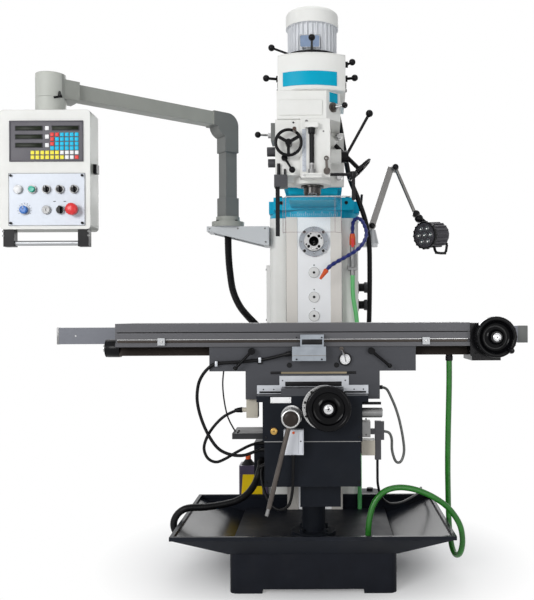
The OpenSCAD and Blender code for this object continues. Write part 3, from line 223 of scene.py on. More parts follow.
BLACK = plain("black_plastic", 14, 14, 16, 0.24, 0.1, 0.03, 0.8, 0.12)
OXIDE = surface("black_oxide", rgb(23, 23, 25), 0.4, vary=0.15, bump=0.08, worn=rgb(70, 70, 70), edge=0.8,
                spec=0.14)
RUBBER = plain("black_rubber", 13, 13, 15, 0.42, 0.12, 0.12, 0.5, 0.14, fine=300)
HOSE = plain("green_hose", 40, 110, 36, 0.28, 0.12, 0.04, 0.5, grain=20, coat=0.1)
FEED = plain("coolant_hose", 98, 186, 112, 0.3, 0.08, 0.04, 0.5, grain=20, coat=0.1)
GLOSS = plain("black_gloss", 12, 12, 14, 0.12, 0.1, 0.05, 0.8, 0.1, fine=60)
FLANGE = surface("spindle_flange", rgb(146, 150, 156), 0.28, 0.75, grain=30, bump=0.05, edge=1)
ARM = surface("lamp_arm", rgb(120, 118, 116), 0.3, 0.7, vary=0.14, grain=12, bump=0.04, stretch=(1, 1, 0.3))
LENS = plain("lamp_lens", 70, 80, 82, 0.08, 0.05, 0.02, 1.2, 0.5, coat=0.5)
ARMOUR = surface("armoured_lead", rgb(80, 82, 80), 0.36, 0.4, vary=0.12, bump=0.12, edge=0.5)
BRASS = surface("brass", rgb(186, 150, 84), 0.3, 0.9, vary=0.08, bump=0.05, edge=0.8)
STRIP = surface("gib_strip", rgb(140, 128, 104), 0.34, 0.5, vary=0.2, grain=30, stretch=(0.1, 1, 1))
NOSE = surface("spindle_nose", rgb(66, 63, 62), 0.26, 0.7, vary=0.14, fine=400, edge=1, spec=0.3)
SHELF = plain("shelf_paint", 40, 41, 43, 0.45, 0.1, 0.1, 1.5, 0.2)
READER = surface("reader_alloy", rgb(142, 148, 155), 0.4, 0.4, vary=0.08, grain=30, edge=1)
HUB = plain("dark_hub", 44, 38, 35, 0.32, 0.12, 0.06, 1, 0.15, grain=18, fine=300)
ORANGE = plain("orange_plastic", 214, 84, 32, 0.34, 0.05, 0.04, 0.8)
JET = plain("jet_plastic", 24, 36, 108, 0.32, 0.08, 0.04, 0.6, coat=0.1)
TANK = plain("oil_tank", 70, 62, 84, 0.34, 0.1, 0.05, 1.5, coat=0.1)
YELLOW = plain("yellow_plate", 230, 196, 12, 0.36, 0.05, 0.03, 1.2)
FINS = plain("motor_paint", 222, 224, 227, 0.42, 0.04, 0.08, 0.8, fine=300)
LABEL = surface("motor_plate", rgb(122, 140, 168), 0.36, 0.2, vary=0.08, grain=60, bump=0.05, fine=600,
                edge=0.6)
LAMP = surface("lamp_body", rgb(62, 61, 66), 0.38, 0.3, edge=1, spec=0.2)
CAST = surface("graphite_block", rgb(64, 64, 67), 0.4, 0.3, vary=0.1, bump=0.1, edge=1, spec=0.3)
SWITCH = plain("switch_box", 204, 206, 211, 0.42, 0.03, 0.1, 1.5, fine=320)
BEIGE = plain("terminal_cover", 186, 180, 166, 0.45, 0.04, 0.08, 1.5)
PANEL = plain("display_panel", 84, 82, 88, 0.45, 0.04, 0.06, 1.2, fine=900)
FACE = surface("button_plate", rgb(198, 203, 211), 0.4, 0.1, vary=0.05, grain=40, bump=0.05, fine=700,
               spec=0.15)
SCREEN = plain("display_window", 26, 32, 20, 0.3, 0.25, 0.01, 1.2, 0.1, grain=60)
CYAN = plain("key_cyan", 0, 184, 222)
LEMON = plain("key_yellow", 240, 226, 70)
RED = plain("key_red", 226, 64, 60)
PALE = plain("key_white", 236, 236, 236, vary=0.02)
STOP = plain("stop_red", 214, 46, 48, 0.3, 0.04, 0.03, 1.5, coat=0.2)
GREEN = plain("start_green", 20, 164, 140, 0.3, 0.04, 0.03, 1.5, coat=0.2)
KNOB = plain("knob_blue", 20, 100, 180, 0.32, 0.05, 0.03, 1.2, coat=0.2)
BROWN = plain("bakelite", 62, 42, 32, 0.28, 0.12, 0.03, 0.8, coat=0.3)
LED_TONE = (1, 0.97, 0.9, 1)
LED = surface("lamp_led", LED_TONE, 0.3)
put(LED.node_tree.nodes["Principled BSDF"], {"Emission Color": LED_TONE, "Emission Strength": 0.35})
BELT = plain("belt_rubber", 24, 24, 24, 0.6, 0.1, 0.1, 1.2, 0.5)
RIM = plain("sheet_edge", 150, 128, 130, 0.4, 0.05, 0.03, 0.4)
CLEAR = bpy.data.materials.new("clear_guard")
CLEAR.use_nodes = True
put(CLEAR.node_tree.nodes["Principled BSDF"], {"Base Color": (0.8, 0.9, 0.94, 1), "Roughness": 0.08,
                                               "Alpha": 0.018, "IOR": 1.3})


def paint(node, base, *rules):
    """Gives a CAD node its base material, and other materials to the faces inside boxes in millimetres."""
    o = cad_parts[node]
    o.data.materials.clear()
    mats = list(dict.fromkeys([base, *(rule[0] for rule in rules)]))
    for m in mats:
        o.data.materials.append(m)
    for p in o.data.polygons:
        c = p.center * 1000
        p.material_index = 0
        for m, x0, x1, y0, y1, z0, z1 in rules:
            if x0 <= c.x <= x1 and y0 <= c.y <= y1 and z0 <= c.z <= z1:
                p.material_index = mats.index(m)
                break


PLAIN = (
    (DARK, "base_casting"), (TRAY, "chip_tray"), (KNEE, "lift_pedestal"),
    (WHITE, "head_casting", "belt_housing"), (BELT, "drive_belt"),
    (DULL, "motor_rotor", "spindle_pulley", "lift_screw"), (NOSE, "vertical_spindle", "quill"),
    (SHAFT, "quill_lock_lever"), (GREEN, "start_button"), (KNOB, "reset_knob"), (STOP, "stop_button"),
    (IRON, "saddle"), (ARM, "lamp_lower_arm", "lamp_upper_arm"),
    (BLACK, "tilt_handwheel", "quill_feed_lever", "clutch_lever", "belt_lever", "feed_trip_lever",
     "table_lock_left", "table_lock_right", "selector_a", "selector_b", "selector_c"),
)
for mat, *nodes in PLAIN:
    for node in nodes:
        paint(node, mat)
# The column's front face takes the lighter copy of the white paint: painted light
paint("column", WHITE, (LIT_FRONT, -76.4, 76.4, 80, 100, 160, 1520), (WAY, -128, -76.5, 88, 89.5, 160, 1520),
      (WAY, 76.5, 128, 88, 89.5, 160, 1520))
paint("column_covers", TRIM, (OXIDE, -60, 60, 60, 79.9, 1340, 1460), (FLANGE, -70, 70, 60, 93, 1320, 1480),
      (GREY, -160, 160, 505, 600, 1100, 1480),
      *((OXIDE, -5.7, 5.7, 84, 92, z - 5.7, z + 5.7) for z in COVER_Z),
      *((OXIDE, -3.2, 3.2, 84, 92.5, z + 30.8, z + 37.2) for z in COVER_Z))
paint("column_brackets", ALU, (BRACKET, -600, 0, 0, 400, 1300, 1472.2),
      (GREY, -600, 0, 0, 400, 1472.2, 1600))
paint("lubricator", TANK, (YELLOW, -342, -243, 140, 150.2, 190, 325),
      (OXIDE, -352, -280, 150, 226, 358.2, 384.1), (ORANGE, -332, -298, 174, 206, 384.1, 410),
      (DULL, -219.2, -206, 155, 255, 200, 420), (WIPER, -266, -218, 160, 250, 358.2, 460))
paint("coolant_manifold", DULL, (STOP, 160, 190, 60, 74.2, 1360, 1415),
      (ORANGE, 150, 200, 74, 125, 1384, 1425))
paint("coolant_jet", JET, (ORANGE, 160, 195, 85, 120, 1420, 1436.5), (ORANGE, 0, 51, -40, -5, 1200, 1256))
paint("horizontal_spindle", STEEL, (OXIDE, -24, 24, 68, 400, 1376, 1424),
      *((OXIDE, x - 7.5, x + 7.5, 67.5, 100, SPINDLE_Z + z - 7.5, SPINDLE_Z + z + 7.5)
        for x, z in product((-23.6, 23.6), repeat=2)))
paint("turret", BLUE, (OXIDE, 216.5, 260, 200, 300, 1550, 1700))
paint("ram", BLUE, (STEEL, -78, -52, -159.5, -143, 1772.2, 1791),
      (STEEL, 52, 78, -159.5, -143, 1772.2, 1791))
paint("drive_motor", FINS, (WHITE, -200, 200, -400, 0, 2262.2, 2340))
paint("head_fittings", WHITE, (PLATE, -120, 110, -470, -380, 1955, 2020),
      (PLATE, 40, 130, -450, -380, 1898, 1940), (LABEL, -60, 40, -330, -300, 2150, 2210),
      (DULL, -15, 15, -478, -445.5, 1612.1, 1646.5), (OXIDE, -15, 15, -480, -445.5, 1646.5, 1789.8),
      (FACE, -38, -21, -448, -445.2, 1621, 1789), (OXIDE, -140, -98, -446, -428, 1611.2, 1656),
      (CAST, -150, -96, -447, -384, 1563.8, 1611.2), (OXIDE, -145, -127, -421, -407, 1370, 1564),
      (POST, -185, -144.2, -400, -280, 1750, 1830), (CAST, -185, -144.2, -400, -280, 1650, 1745),
      (STEEL, -130, 130, -220, -190, 1620, 1830), (OXIDE, 72.2, 180, -450, -400, 1600, 1626))
paint("fine_feed_wheel", BLACK, (BROWN, -80, -50, -520, -472.2, 1760, 1790))
paint("range_lever", BLACK, (SHAFT, 70, 96, -440, -400, 1860, 1900),
      (STEEL, 96, 119, -440, -400, 1860, 1900))
paint("brake_ring", OXIDE, (BLACK, -30, 30, -470, -425, 2130, 2170),
      (BLACK, -180, -148, -360, -310, 2130, 2170))
paint("feed_rate_lever", BLACK, (STEEL, -206, -160, -350, -310, 1770, 1810))
paint("chip_guard", CLEAR, (OXIDE, 155, 171, -440, -420, 1500, 1610),
      (STEEL, -125, 165, -434, -426, 1526.05, 1540))
# The hub of the swing arm takes the lighter grey: painted light
paint("swing_arm", GREY, (POST, -480, -330, 50, 220, 1500, 2010),
      (BLACK, -1004, -966, -482, -428, 1900, 1948), (NECK_LIT, -1100, -983, -470, -334, 1880, 2030))
# The neck of the control box takes the same lighter grey: painted light
paint("control_box", WHITE, (NECK_LIT, -1110, -960, -470, -330, 1866.2, 1990),
      (RUBBER, -863.4, -840, -430, -380, 1600, 1680), (GREY, -1215, -855, -455.5, -330, 1390, 1880))
paint("control_face", PANEL, (FACE, -1182, -882, -461.5, -456, 1412, 1619),
      (PALE, -1160, -1125, -480, -460, 1535, 1572), (BLACK, -995, -962, -490, -461, 1455, 1492),
      (OXIDE, -1210, -1160, -460, -415, 1330, 1401), (OXIDE, -915, -870, -460, -415, 1330, 1401),
      (ALU, -1210, -860, -460, -410, 1330, 1360), (DULL, -1200, -870, -490, -461.2, 1400, 1620))
paint("knee", KNEE, (IRON, -215, 215, -600, 80, 755.5, 790))
paint("knee_fittings", DULL, (SWITCH, -108, -32, -602, -559.5, 540.5, 634),
      (RUBBER, -82, -62, -590, -570, 520, 541), (ORANGE, -76, -64, -604, -600.2, 618, 630),
      (BRASS, -160, -130, -568, -560.2, 610, 640), (PALE, -159, -79, -563, -560.2, 729, 753),
      (OXIDE, -60, 20, -580, -574.2, 660, 790), (STEEL, -60, 140, -590, -560.2, 620, 800),
      (STEEL, -110, -44, -590, -560.2, 650, 712), (OXIDE, 188.2, 270, -520, -500, 712, 735),
      (CAST, 221, 278, -482, -458, 495, 656), (BEIGE, 188, 239.8, -487, -425, 517, 577),
      (SHELF, -311, -187, -501, -325, 584, 608), (KNEE, -256, -181, -181, -59, 334, 521),
      (KNEE, -50, 108, -501, -399, 320, 412.9))
paint("knee_crank", SHAFT, (DULL, -180, -158, -665, -640, 320, 356),
      (STEEL, -113, -43, -654.9, -580, 648, 717))
paint("cross_handwheel", GLOSS, (CHROME, 40, 80, -629, -622.4, 692, 734))
paint("saddle_fittings", WIPER, (SHAFT, 98, 126, -500, -474, 914.2, 950),
      (OXIDE, -161, -112, -478, -474, 833, 842), (OXIDE, 138, 166, -478, -474, 833, 842),
      (STRIP, -161, 166, -478, -474, 833, 842), (READER, -90, 60, -540, -500, 875, 990),
      (PALE, 102, 150, -488, -486.8, 866, 914), (OXIDE, -382, -360, -485, -474, 870, 886),
      (OXIDE, -214, -192, -485, -474, 870, 886), (OXIDE, -101, -79, -480, -474, 856, 878),
      (OXIDE, 82, 104, -480, -474, 856, 878), (BEIGE, -290, -210, -455, -400, 655, 740),
      (RUBBER, -280, -260.2, -440, -420, 680, 700), (RUBBER, 260.2, 280, -440, -420, 766, 786))
paint("table", TABLE, (TAIL, -800, 700, -500, -170, 900, 938.9))
paint("table_fittings", BLACK, (SCALE, -1100, 920, -186, -159, 940, 1013),
      (STEEL, -840, -820.2, -420, -370, 910, 955), (STEEL, 640, 760, -504, -489.2, 920, 1025),
      (ALU, -600, -560, -500, -484, 940, 980), (ALU, 420, 460, -500, -484, 940, 980))
paint("table_handwheel", GLOSS, (CHROME, 730, 760, -600, -525, 910, 940),
      (CHROME, 680, 716, -556, -549.4, 955, 993))
paint("lamp_head", LAMP, (BLACK, 540, 660, 140, 240, 1330, 1380), (BLACK, 455, 530, 90, 180, 1496, 1560))


# Mesh pieces, drawn in millimetres
def turns(n):
    """Angles of n equal steps round a circle, in degrees."""
    return [360 * k / n for k in range(n)]


def around(x, z, r, angles):
    """Points on a circle, each with its angle in radians."""
    for a in angles:
        q = math.radians(a)
        yield x + r * math.cos(q), z + r * math.sin(q), q


class Piece:
    """A mesh that rides on a body. Its shapes take the base material where they name none."""

    def __init__(self, name, body, slot, base):
        self.name, self.body, self.slot, self.mats = name, body, slot, [base]
        self.bm = bmesh.new()

    def index(self, mat):
        if mat is None:
            return 0
        if mat not in self.mats:
            self.mats.append(mat)
        return self.mats.index(mat)

    def face(self, verts, m):
        f = self.bm.faces.new(verts)
        f.material_index = m
        f.smooth = True

    def lathe(self, p, axis, profile, mat=None, n=32, turn=0.0):
        """Revolves (radius, height) pairs about an axis through p."""
        m = self.index(mat)
        spin = Vector(axis).normalized().to_track_quat("Z", "Y").to_matrix()
        p = Vector(p)
        rings = []
        for r, h in profile:
            if r < 1e-6:
                rings.append([self.bm.verts.new((p + spin @ Vector((0, 0, h))) * MM)])
                continue
            ring = []
            for k in range(n):
                a = 2 * math.pi * k / n + turn
                at = Vector((r * math.cos(a), r * math.sin(a), h))
                ring.append(self.bm.verts.new((p + spin @ at) * MM))
            rings.append(ring)
        for a, b in zip(rings, rings[1:]):
            for k in range(n):
                j = (k + 1) % n
                if len(a) == 1 and len(b) == 1:
                    continue
                if len(a) == 1:
                    self.face((a[0], b[j], b[k]), m)
                elif len(b) == 1:
                    self.face((a[k], a[j], b[0]), m)
                else:
                    self.face((a[k], a[j], b[j], b[k]), m)

    def torus(self, p, axis, big, small, n=48, k=10):
        loop = [(big + small * math.cos(2 * math.pi * i / k), small * math.sin(2 * math.pi * i / k))
                for i in range(k + 1)]
        self.lathe(p, axis, loop, n=n)

    def bolt(self, p, axis, r, h, mat=None):
        """A socket head screw."""
        self.lathe(p, axis, [(0, 0), (r, 0), (r, h - 0.8), (r - 0.8, h), (r * 0.55, h)], mat, 24)
        self.lathe(p, axis, [(r * 0.55, h), (r * 0.5, h * 0.45), (0, h * 0.45)], mat, 6)

    def bolts(self, xs, ys, zs, axis, r, h, mat=None):
        for p in product(xs, ys, zs):
            self.bolt(p, axis, r, h, mat)

    def hexnut(self, p, axis, r, h, mat=None):
        self.lathe(p, axis, [(0, 0), (r, 0), (r, h - 1), (r * 0.88, h), (0, h)], mat, 6, 0.3)

    def box(self, x0, x1, y0, y1, z0, z1, mat=None, b=1.0, turn=None):
        """A box with bevelled edges; turn is a matrix about its middle."""
        m = self.index(mat)
        before = set(self.bm.faces)
        made = bmesh.ops.create_cube(self.bm, size=1)["verts"]
        size = Matrix.Diagonal(((x1 - x0) * MM, (y1 - y0) * MM, (z1 - z0) * MM, 1))
        move = Matrix.Translation(((x0 + x1) / 2 * MM, (y0 + y1) / 2 * MM, (z0 + z1) / 2 * MM))
        bmesh.ops.transform(self.bm, matrix=move @ (turn.to_4x4() if turn else Matrix()) @ size, verts=made)
        if b:
            edges = {e for v in made for e in v.link_edges}
            bmesh.ops.bevel(self.bm, geom=list(edges), offset=b * MM, segments=2, affect="EDGES",
                            profile=0.5)
        for f in self.bm.faces:
            if f not in before:
                f.material_index = m
                f.smooth = True

    def border(self, x0, x1, y0, y1, z0, z1, w, mat, b):
        """A flat frame of four strips of width w."""
        for z in (z0, z1 - w):
            self.box(x0, x1, y0, y1, z, z + w, mat, b)
        for x in (x0, x1 - w):
            self.box(x, x + w, y0, y1, z0 + w, z1 - w, mat, b)

    def slab(self, x, z, wide, high, y0, y1, mat=None, b=0.0, a=0.0):
        """A flat box round x and z, turned by an angle; wide and high are half sizes."""
        self.box(x - wide, x + wide, y0, y1, z - high, z + high, mat, b, Matrix.Rotation(-a, 3, "Y"))

    def tube(self, pts, r, n=12, rib=0.0):
        """A tube along points; rib narrows every other ring."""
        pts = [Vector(p) for p in pts]
        side = None
        rings = []
        for i, p in enumerate(pts):
            d = (pts[min(i + 1, len(pts) - 1)] - pts[max(i - 1, 0)]).normalized()
            if side is None:
                side = d.orthogonal().normalized()
            side = (side - side.dot(d) * d).normalized()
            other = d.cross(side)
            k = r * (1 - rib * (i % 2))
            rings.append([self.bm.verts.new((p + k * (math.cos(t) * side + math.sin(t) * other)) * MM)
                          for t in (2 * math.pi * j / n for j in range(n))])
        for a, b in zip(rings, rings[1:]):
            for j in range(n):
                self.face((a[j], a[(j + 1) % n], b[(j + 1) % n], b[j]), 0)
        self.face(list(reversed(rings[0])), 0)
        self.face(rings[-1], 0)

    def done(self, rides=True):
        bmesh.ops.recalc_face_normals(self.bm, faces=self.bm.faces)
        mesh = bpy.data.meshes.new(self.name)
        self.bm.to_mesh(mesh)
        self.bm.free()
        mesh.set_sharp_from_angle(angle=math.radians(38))
        for m in self.mats:
            mesh.materials.append(m)
        o = bpy.data.objects.new(self.name, mesh)
        scene.collection.objects.link(o)
        if rides:
            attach(o, self.body)
        return o


# Cords: the routes of the CAD solids, smoothed the same way
def smooth(route, n):
    p = [Vector(v) for v in route]
    got = []
    for i in range(len(p) - 1):
        a, b, c, d = p[max(i - 1, 0)], p[i], p[i + 1], p[min(i + 2, len(p) - 1)]
        for k in range(n):
            t = k / n
            got.append(0.5 * (2 * b + (c - a) * t + (2 * a - 5 * b + 4 * c - d) * t * t
                              + (3 * b - a - 3 * c + d) * t ** 3))
    return got + [p[-1]]


def even(pts, step):
    """Points at even steps along a line."""
    total = sum((b - a).length for a, b in zip(pts, pts[1:]))
    count = max(2, round(total / step))
    got, i, gone = [pts[0]], 0, 0.0
    for k in range(1, count):
        want = total * k / count
        while gone + (pts[i + 1] - pts[i]).length < want:
            gone += (pts[i + 1] - pts[i]).length
            i += 1
        got.append(pts[i].lerp(pts[i + 1], (want - gone) / (pts[i + 1] - pts[i]).length))
    return got + [pts[-1]]


def cord(name, route, d, node, body, rib, step, to=None, part=(0, 1),
         mat=RUBBER, slot="black_cable"):
    """One cord or a length of it; where to is given, it rides on no body and its mesh is baked in place."""
    line = even(smooth(route, 8), step)
    a, b = round(part[0] * (len(line) - 1)), round(part[1] * (len(line) - 1))
    line = line[a:b + 1]
    p = Piece(name, body, slot, mat)
    p.tube(line, d / 2, 14, rib)
    o = p.done(not to)
    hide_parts(node)
    if to:
        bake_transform(o)
    length = sum((q - p).length for p, q in zip(line, line[1:])) * MM
    [tuple(v * MM) for v in line]
    return o


pendant_route = [
    (-400, 135, 1458), (-400, 135, 1400), (-398, 136, 1335), (-393, 138, 1270), (-380, 144, 1180),
    (-352, 158, 1110), (-318, 184, 1062), (-292, 236, 1030), (-272, 284, 1005), (-251, 306, 990),
    (-227, 310, 984)]
head_route = [
    (85, -80, 2010), (95, -40, 2000), (118, 20, 1930), (140, 70, 1820), (165, 105, 1700),
    (205, 118, 1600), (240, 140, 1500), (258, 165, 1400), (262, 190, 1280), (262, 215, 1130),
    (258, 240, 990), (240, 262, 920), (207, 270, 890)]
coolant_route = [
    (178, 104, 1245), (180, 104, 1150), (196, 103, 1040), (206, 100, 900), (206, 98, 700), (206, 98, 500),
    (206, 98, 300), (206, 98, 168)]
knee_route = [
    (-222, -180, 440), (-224, -206, 430), (-232, -224, 398), (-250, -231, 352), (-282, -238, 312),
    (-325, -249, 288), (-380, -260, 276), (-450, -285, 272), (-515, -298, 272), (-552, -298, 254),
    (-573, -296, 222), (-574, -292, 188), (-556, -284, 158), (-522, -270, 142), (-482, -254, 136),
    (-436, -236, 134), (-388, -218, 130), (-350, -206, 124), (-320, -202, 120)]
switch_route = [
    (-72, -580, 525), (-73, -580, 460), (-77, -577, 395), (-92, -568, 345), (-125, -552, 326),
    (-160, -532, 342), (-188, -500, 390), (-200, -470, 440), (-195, -445, 468), (-182, -440, 474)]
limit_route = [
    (250, -470, 500), (250, -469, 450), (252, -462, 400), (268, -430, 345), (305, -360, 303),
    (360, -260, 282), (415, -150, 276), (455, -50, 272), (482, 50, 268), (490, 120, 258), (486, 165, 215),
    (460, 195, 150), (410, 205, 108), (360, 205, 96), (320, 205, 94)]
reader_route = [
    (-77, -510, 915), (-110, -506, 908), (-160, -492, 896), (-203, -486, 888), (-290, -486, 880),
    (-371, -486, 874), (-408, -483, 852), (-436, -478, 812), (-447, -474, 768), (-447, -470, 718),
    (-432, -465, 655), (-405, -460, 592), (-370, -454, 542), (-326, -448, 518), (-274, -440, 512),
    (-222, -434, 528), (-182, -430, 536)]
cross_route = [
    (-278, -430, 690), (-304, -430, 686), (-352, -430, 662), (-392, -430, 622), (-418, -430, 580),
    (-429, -430, 538), (-415, -428, 500), (-384, -426, 484), (-350, -422, 494), (-300, -417, 522),
    (-240, -412, 550), (-182, -410, 558)]
oil_route = [
    (-349, -440, 844), (-353, -440, 790), (-347, -441, 724), (-332, -443, 660), (-304, -446, 607)]
armoured_route = [
    (274, -430, 776), (292, -432, 766), (310, -436, 730), (326, -440, 690), (340, -444, 640),
    (352, -448, 575), (355, -451, 524), (342, -454, 488), (322, -456, 490), (308, -460, 532),
    (306, -465, 578), (296, -469, 602), (276, -470, 609)]
drain_route = [
    (541, -400, 888), (541, -399, 800), (540, -392, 700), (540, -372, 580), (544, -335, 450),
    (552, -290, 340), (558, -262, 250), (562, -262, 170), (567, -290, 108), (575, -335, 88),
    (585, -385, 112), (588, -418, 170), (572, -440, 240), (525, -455, 308), (460, -465, 355),
    (390, -472, 384), (325, -478, 392), (272, -483, 376), (236, -488, 336), (218, -492, 280),
    (212, -494, 225), (212, -495, 168)]
cord("pendant_conduit", pendant_route, 34, "frame_cables", "frame", 0.08, 3.4)
for name, body, to, start, end, part in (
    ("head_conduit_upper", "head", "ram", (85, -70, 2005), (130, 45, 1880), (0, 0.14)),
    ("head_conduit_middle", "ram", "turret", (120, 30, 1900), (170, 108, 1690), (0.14, 0.32)),
    ("head_conduit_lower", "turret", "frame", (170, 108, 1670), (258, 165, 1380), (0.32, 1)),
):
    cord(name, head_route, 24, "frame_cables", body, 0.08, 3, to, part)
cord("coolant_hose", coolant_route, 20, "frame_cables", "frame", 0, 8, mat=FEED, slot="green_hose")
cord("knee_conduit", knee_route, 30, "knee_cables", "knee", 0.08, 3.2, "frame")
cord("switch_lead", switch_route, 11, "knee_cables", "knee", 0, 6)
cord("limit_lead", limit_route, 10, "knee_cables", "knee", 0, 6, "frame")
cord("reader_lead", reader_route, 13, "saddle_cables", "saddle", 0.05, 3, "knee")
cord("cross_reader_lead", cross_route, 12, "saddle_cables", "saddle", 0.05, 3, "knee")
cord("oil_tube", oil_route, 6, "saddle_cables", "saddle", 0, 5, "knee")
cord("armoured_lead", armoured_route, 11, "saddle_cables", "saddle", 0.1, 2.6, "knee",
     mat=ARMOUR)
for name, body, to, start, end, part in (
    ("drain_upper", "table", "saddle", (541, -400, 880), (540, -390, 690), (0, 0.09)),
    ("drain_middle", "saddle", "knee", (540, -390, 690), (540, -365, 560), (0.09, 0.18)),
    ("drain_lower", "knee", "frame", (541, -360, 540), (546, -325, 420), (0.18, 1)),
):
    cord(name, drain_route, 23, "drain_hose", body, 0, 8, to, part, HOSE, "green_hose")


# Cable glands: a hexagon and a tapered sleeve round the cord's end
def gland(piece, at, axis, r):
    piece.lathe(at, axis, [(r + 1, 0), (r + 6, 0), (r + 6, 7), (r + 5, 8)], n=6)
    piece.lathe(at, axis, [(r + 5, 8), (r + 4, 9), (r + 3.4, 18), (r + 0.8, 30), (r * 0.96, 30)], n=20)


GLANDS = (
    ("frame_glands", "frame", ((pendant_route[-1], (-0.9, -0.4, 0.15), 17), (pendant_route[0], DOWN, 17),
                               (head_route[-1], (0.9, 0, 0.3), 12), (knee_route[-1], LEFT, 15),
                               (limit_route[-1], RIGHT, 5))),
    ("head_gland", "head", ((head_route[0], (0.2, 1, -0.1), 12),)),
    ("knee_glands", "knee", ((knee_route[0], (0, -1, -0.15), 15), (switch_route[-1], (-1, 0, -0.3), 5.5),
                             (reader_route[-1], (-1, 0, -0.1), 6.5), (cross_route[-1], (-1, 0, -0.1), 6))),
    ("reader_glands", "saddle", ((reader_route[0], (-1, 0.1, -0.2), 6.5),
                                 (cross_route[0], (-1, 0, -0.1), 6))),
)
for name, body, ends in GLANDS:
    glands = Piece(name, body, "black_cable", RUBBER)
    for at, axis, r in ends:
        gland(glands, at, axis, r)
    glands.done()
clip = Piece("drain_clip", "table", "table_trim", OXIDE)
clip.lathe((541, -400, 897), DOWN, [(12, 0), (14.5, 1), (14.5, 16), (13, 19), (11.6, 20)], n=28)
clip.box(535, 547, -417, -412, 882, 892)
clip.done()

# Control box: display panel and its keys. FY is the front of both plates.
FY = -461
KEY = 7.3
KEY_PITCH = 19.1
panel = Piece("readout", "pendant", "panel_face", PANEL)
panel.border(-1177, -890, FY - 2.5, FY + 0.5, 1663, 1822, 5, PANEL, 0.8)
for z in (1792.5, 1759.4, 1726.3):
    panel.slab(-1101, z, 54, 10, FY - 1.6, FY + 0.5, LAMP, 0.6)
    panel.slab(-1101, z, 51, 7.5, FY - 2.2, FY, SCREEN, 0.5)
    panel.slab(-1029.5, z, 7.5, 8, FY - 3, FY, PALE, 1.4)
panel.slab(-958, 1793, 54, 10, FY - 1.6, FY + 0.5, LAMP, 0.6)
panel.slab(-958, 1793, 51, 7, FY - 2.2, FY, SCREEN, 0.5)
KEY_ROWS = (
    (-1009.7, 1767.6, [RED] * 2 + [CYAN] * 4),
    (-1009.7, 1749.7, [RED] + [CYAN] * 5),
    (-1009.7, 1731.8, [RED] + [CYAN] * 5),
    (-1009.7, 1714.6, [CYAN] * 6),
    (-1086, 1697.5, [LEMON] * 6 + [PALE] * 4),
    (-1086, 1679, [LEMON] * 7 + [PALE] * 2 + [RED]),
)
for x0, z, colours in KEY_ROWS:
    for i, colour in enumerate(colours):
        panel.slab(x0 + i * KEY_PITCH, z, KEY, KEY, FY - 3, FY, colour, 1.4)
panel.done()

# Control box: trim of the button plate, knobs and buttons in two rows
TOP_ROW, LOW_ROW = 1554, 1474
PILOT_X, START_X = -1142, -1087
KNOB_X, LOCK_X, SIDE_X, STOP_X = -1118, -1032, -978, -927
trim = Piece("plate_trim", "pendant", "panel_face", DULL)
trim.border(-1181, -883, FY - 1.2, FY + 0.5, 1413, 1618, 2, DULL, 0.4)
trim.bolts((-1171, -893), (FY - 3,), (1423, 1608), OUT, 5.2, 3.5, OXIDE)
for x, z, a in around(KNOB_X, LOW_ROW, 26, range(210, -31, -24)):
    trim.slab(x, z, 2.5, 0.6, FY - 0.8, FY + 0.3, OXIDE, a=a)
trim.lathe((PILOT_X, FY - 12, TOP_ROW), OUT, [(14.6, -3), (14.6, 0), (11, 4), (6, 6), (0, 6.6)], PALE)
trim.lathe((PILOT_X, FY, TOP_ROW), OUT, [(15.2, 0), (18, 0), (18, 5), (16.6, 6.5), (15.2, 6.5)], ALU, 40)
trim.lathe((KNOB_X, FY, LOW_ROW), OUT, [(15.6, 0), (21, 0), (20, 3), (15.6, 3.6)], ALU, 40)
trim.lathe((LOCK_X, FY, LOW_ROW), OUT, [(15.2, 0), (17.5, 0), (17.5, 7), (16, 8.5), (15.2, 8.5)], ALU, 40)
trim.lathe((LOCK_X, FY - 10, LOW_ROW), OUT, [(14.4, 0), (13.6, 1.2), (9, 1.2), (8.4, 0.4), (0, 0.4)])
trim.slab(LOCK_X, LOW_ROW, 1.2, 6, FY - 11.6, FY - 10, OXIDE, 0.3)
trim.lathe((SIDE_X, FY, LOW_ROW), OUT, [(15.4, 0), (17.5, 0), (17.5, 6), (16, 7.4), (15.4, 7.4)], ALU, 40)
for x in (-1000, -960):
    trim.box(x - 6, x + 3, FY - 0.7, FY + 0.3, 1506, 1509, OXIDE, 0.2)
trim.bolts((-1204, -872), (-455,), (1375, 1392), OUT, 4, 3)
trim.done()


def grip(piece, x, y, r, count, rib, long):
    """Ribs round a knob of the lower row."""
    for px, pz, _ in around(x, LOW_ROW, r, turns(count)):
        piece.lathe((px, y, pz), REAR, [(0, 0), (rib, 0), (rib, long), (0, long + 1)], n=8)


stop = Piece("stop_dome", "stop_button", "red_button", STOP)
stop.lathe((STOP_X, FY - 33.5, LOW_ROW), OUT,
           [(21.5, 0), (22.6, 1.2), (21, 3.4), (15, 5.6), (7, 6.8), (0, 7)], n=40)
grip(stop, STOP_X, FY - 32, 22.4, 18, 1.6, 10)
stop.done()
knob = Piece("knob_grip", "reset_knob", "blue_knob", KNOB)
knob.lathe((KNOB_X, FY - 18, LOW_ROW), OUT, [(14.6, 0), (14, 1.4), (11, 1.8), (10, 1), (0, 1)], n=40)
grip(knob, KNOB_X, FY - 17, 14.8, 20, 1.3, 12)
knob.slab(KNOB_X, LOW_ROW + 8.5, 0.8, 4.5, FY - 20.2, FY - 18.8, PALE, 0.2)
knob.done()
start = Piece("start_cap", "start_button", "green_button", GREEN)
start.lathe((START_X, FY - 15.8, TOP_ROW), OUT, [(11.8, 0), (11.2, 1.2), (6, 0.5), (0, 0.2)])
start.done()
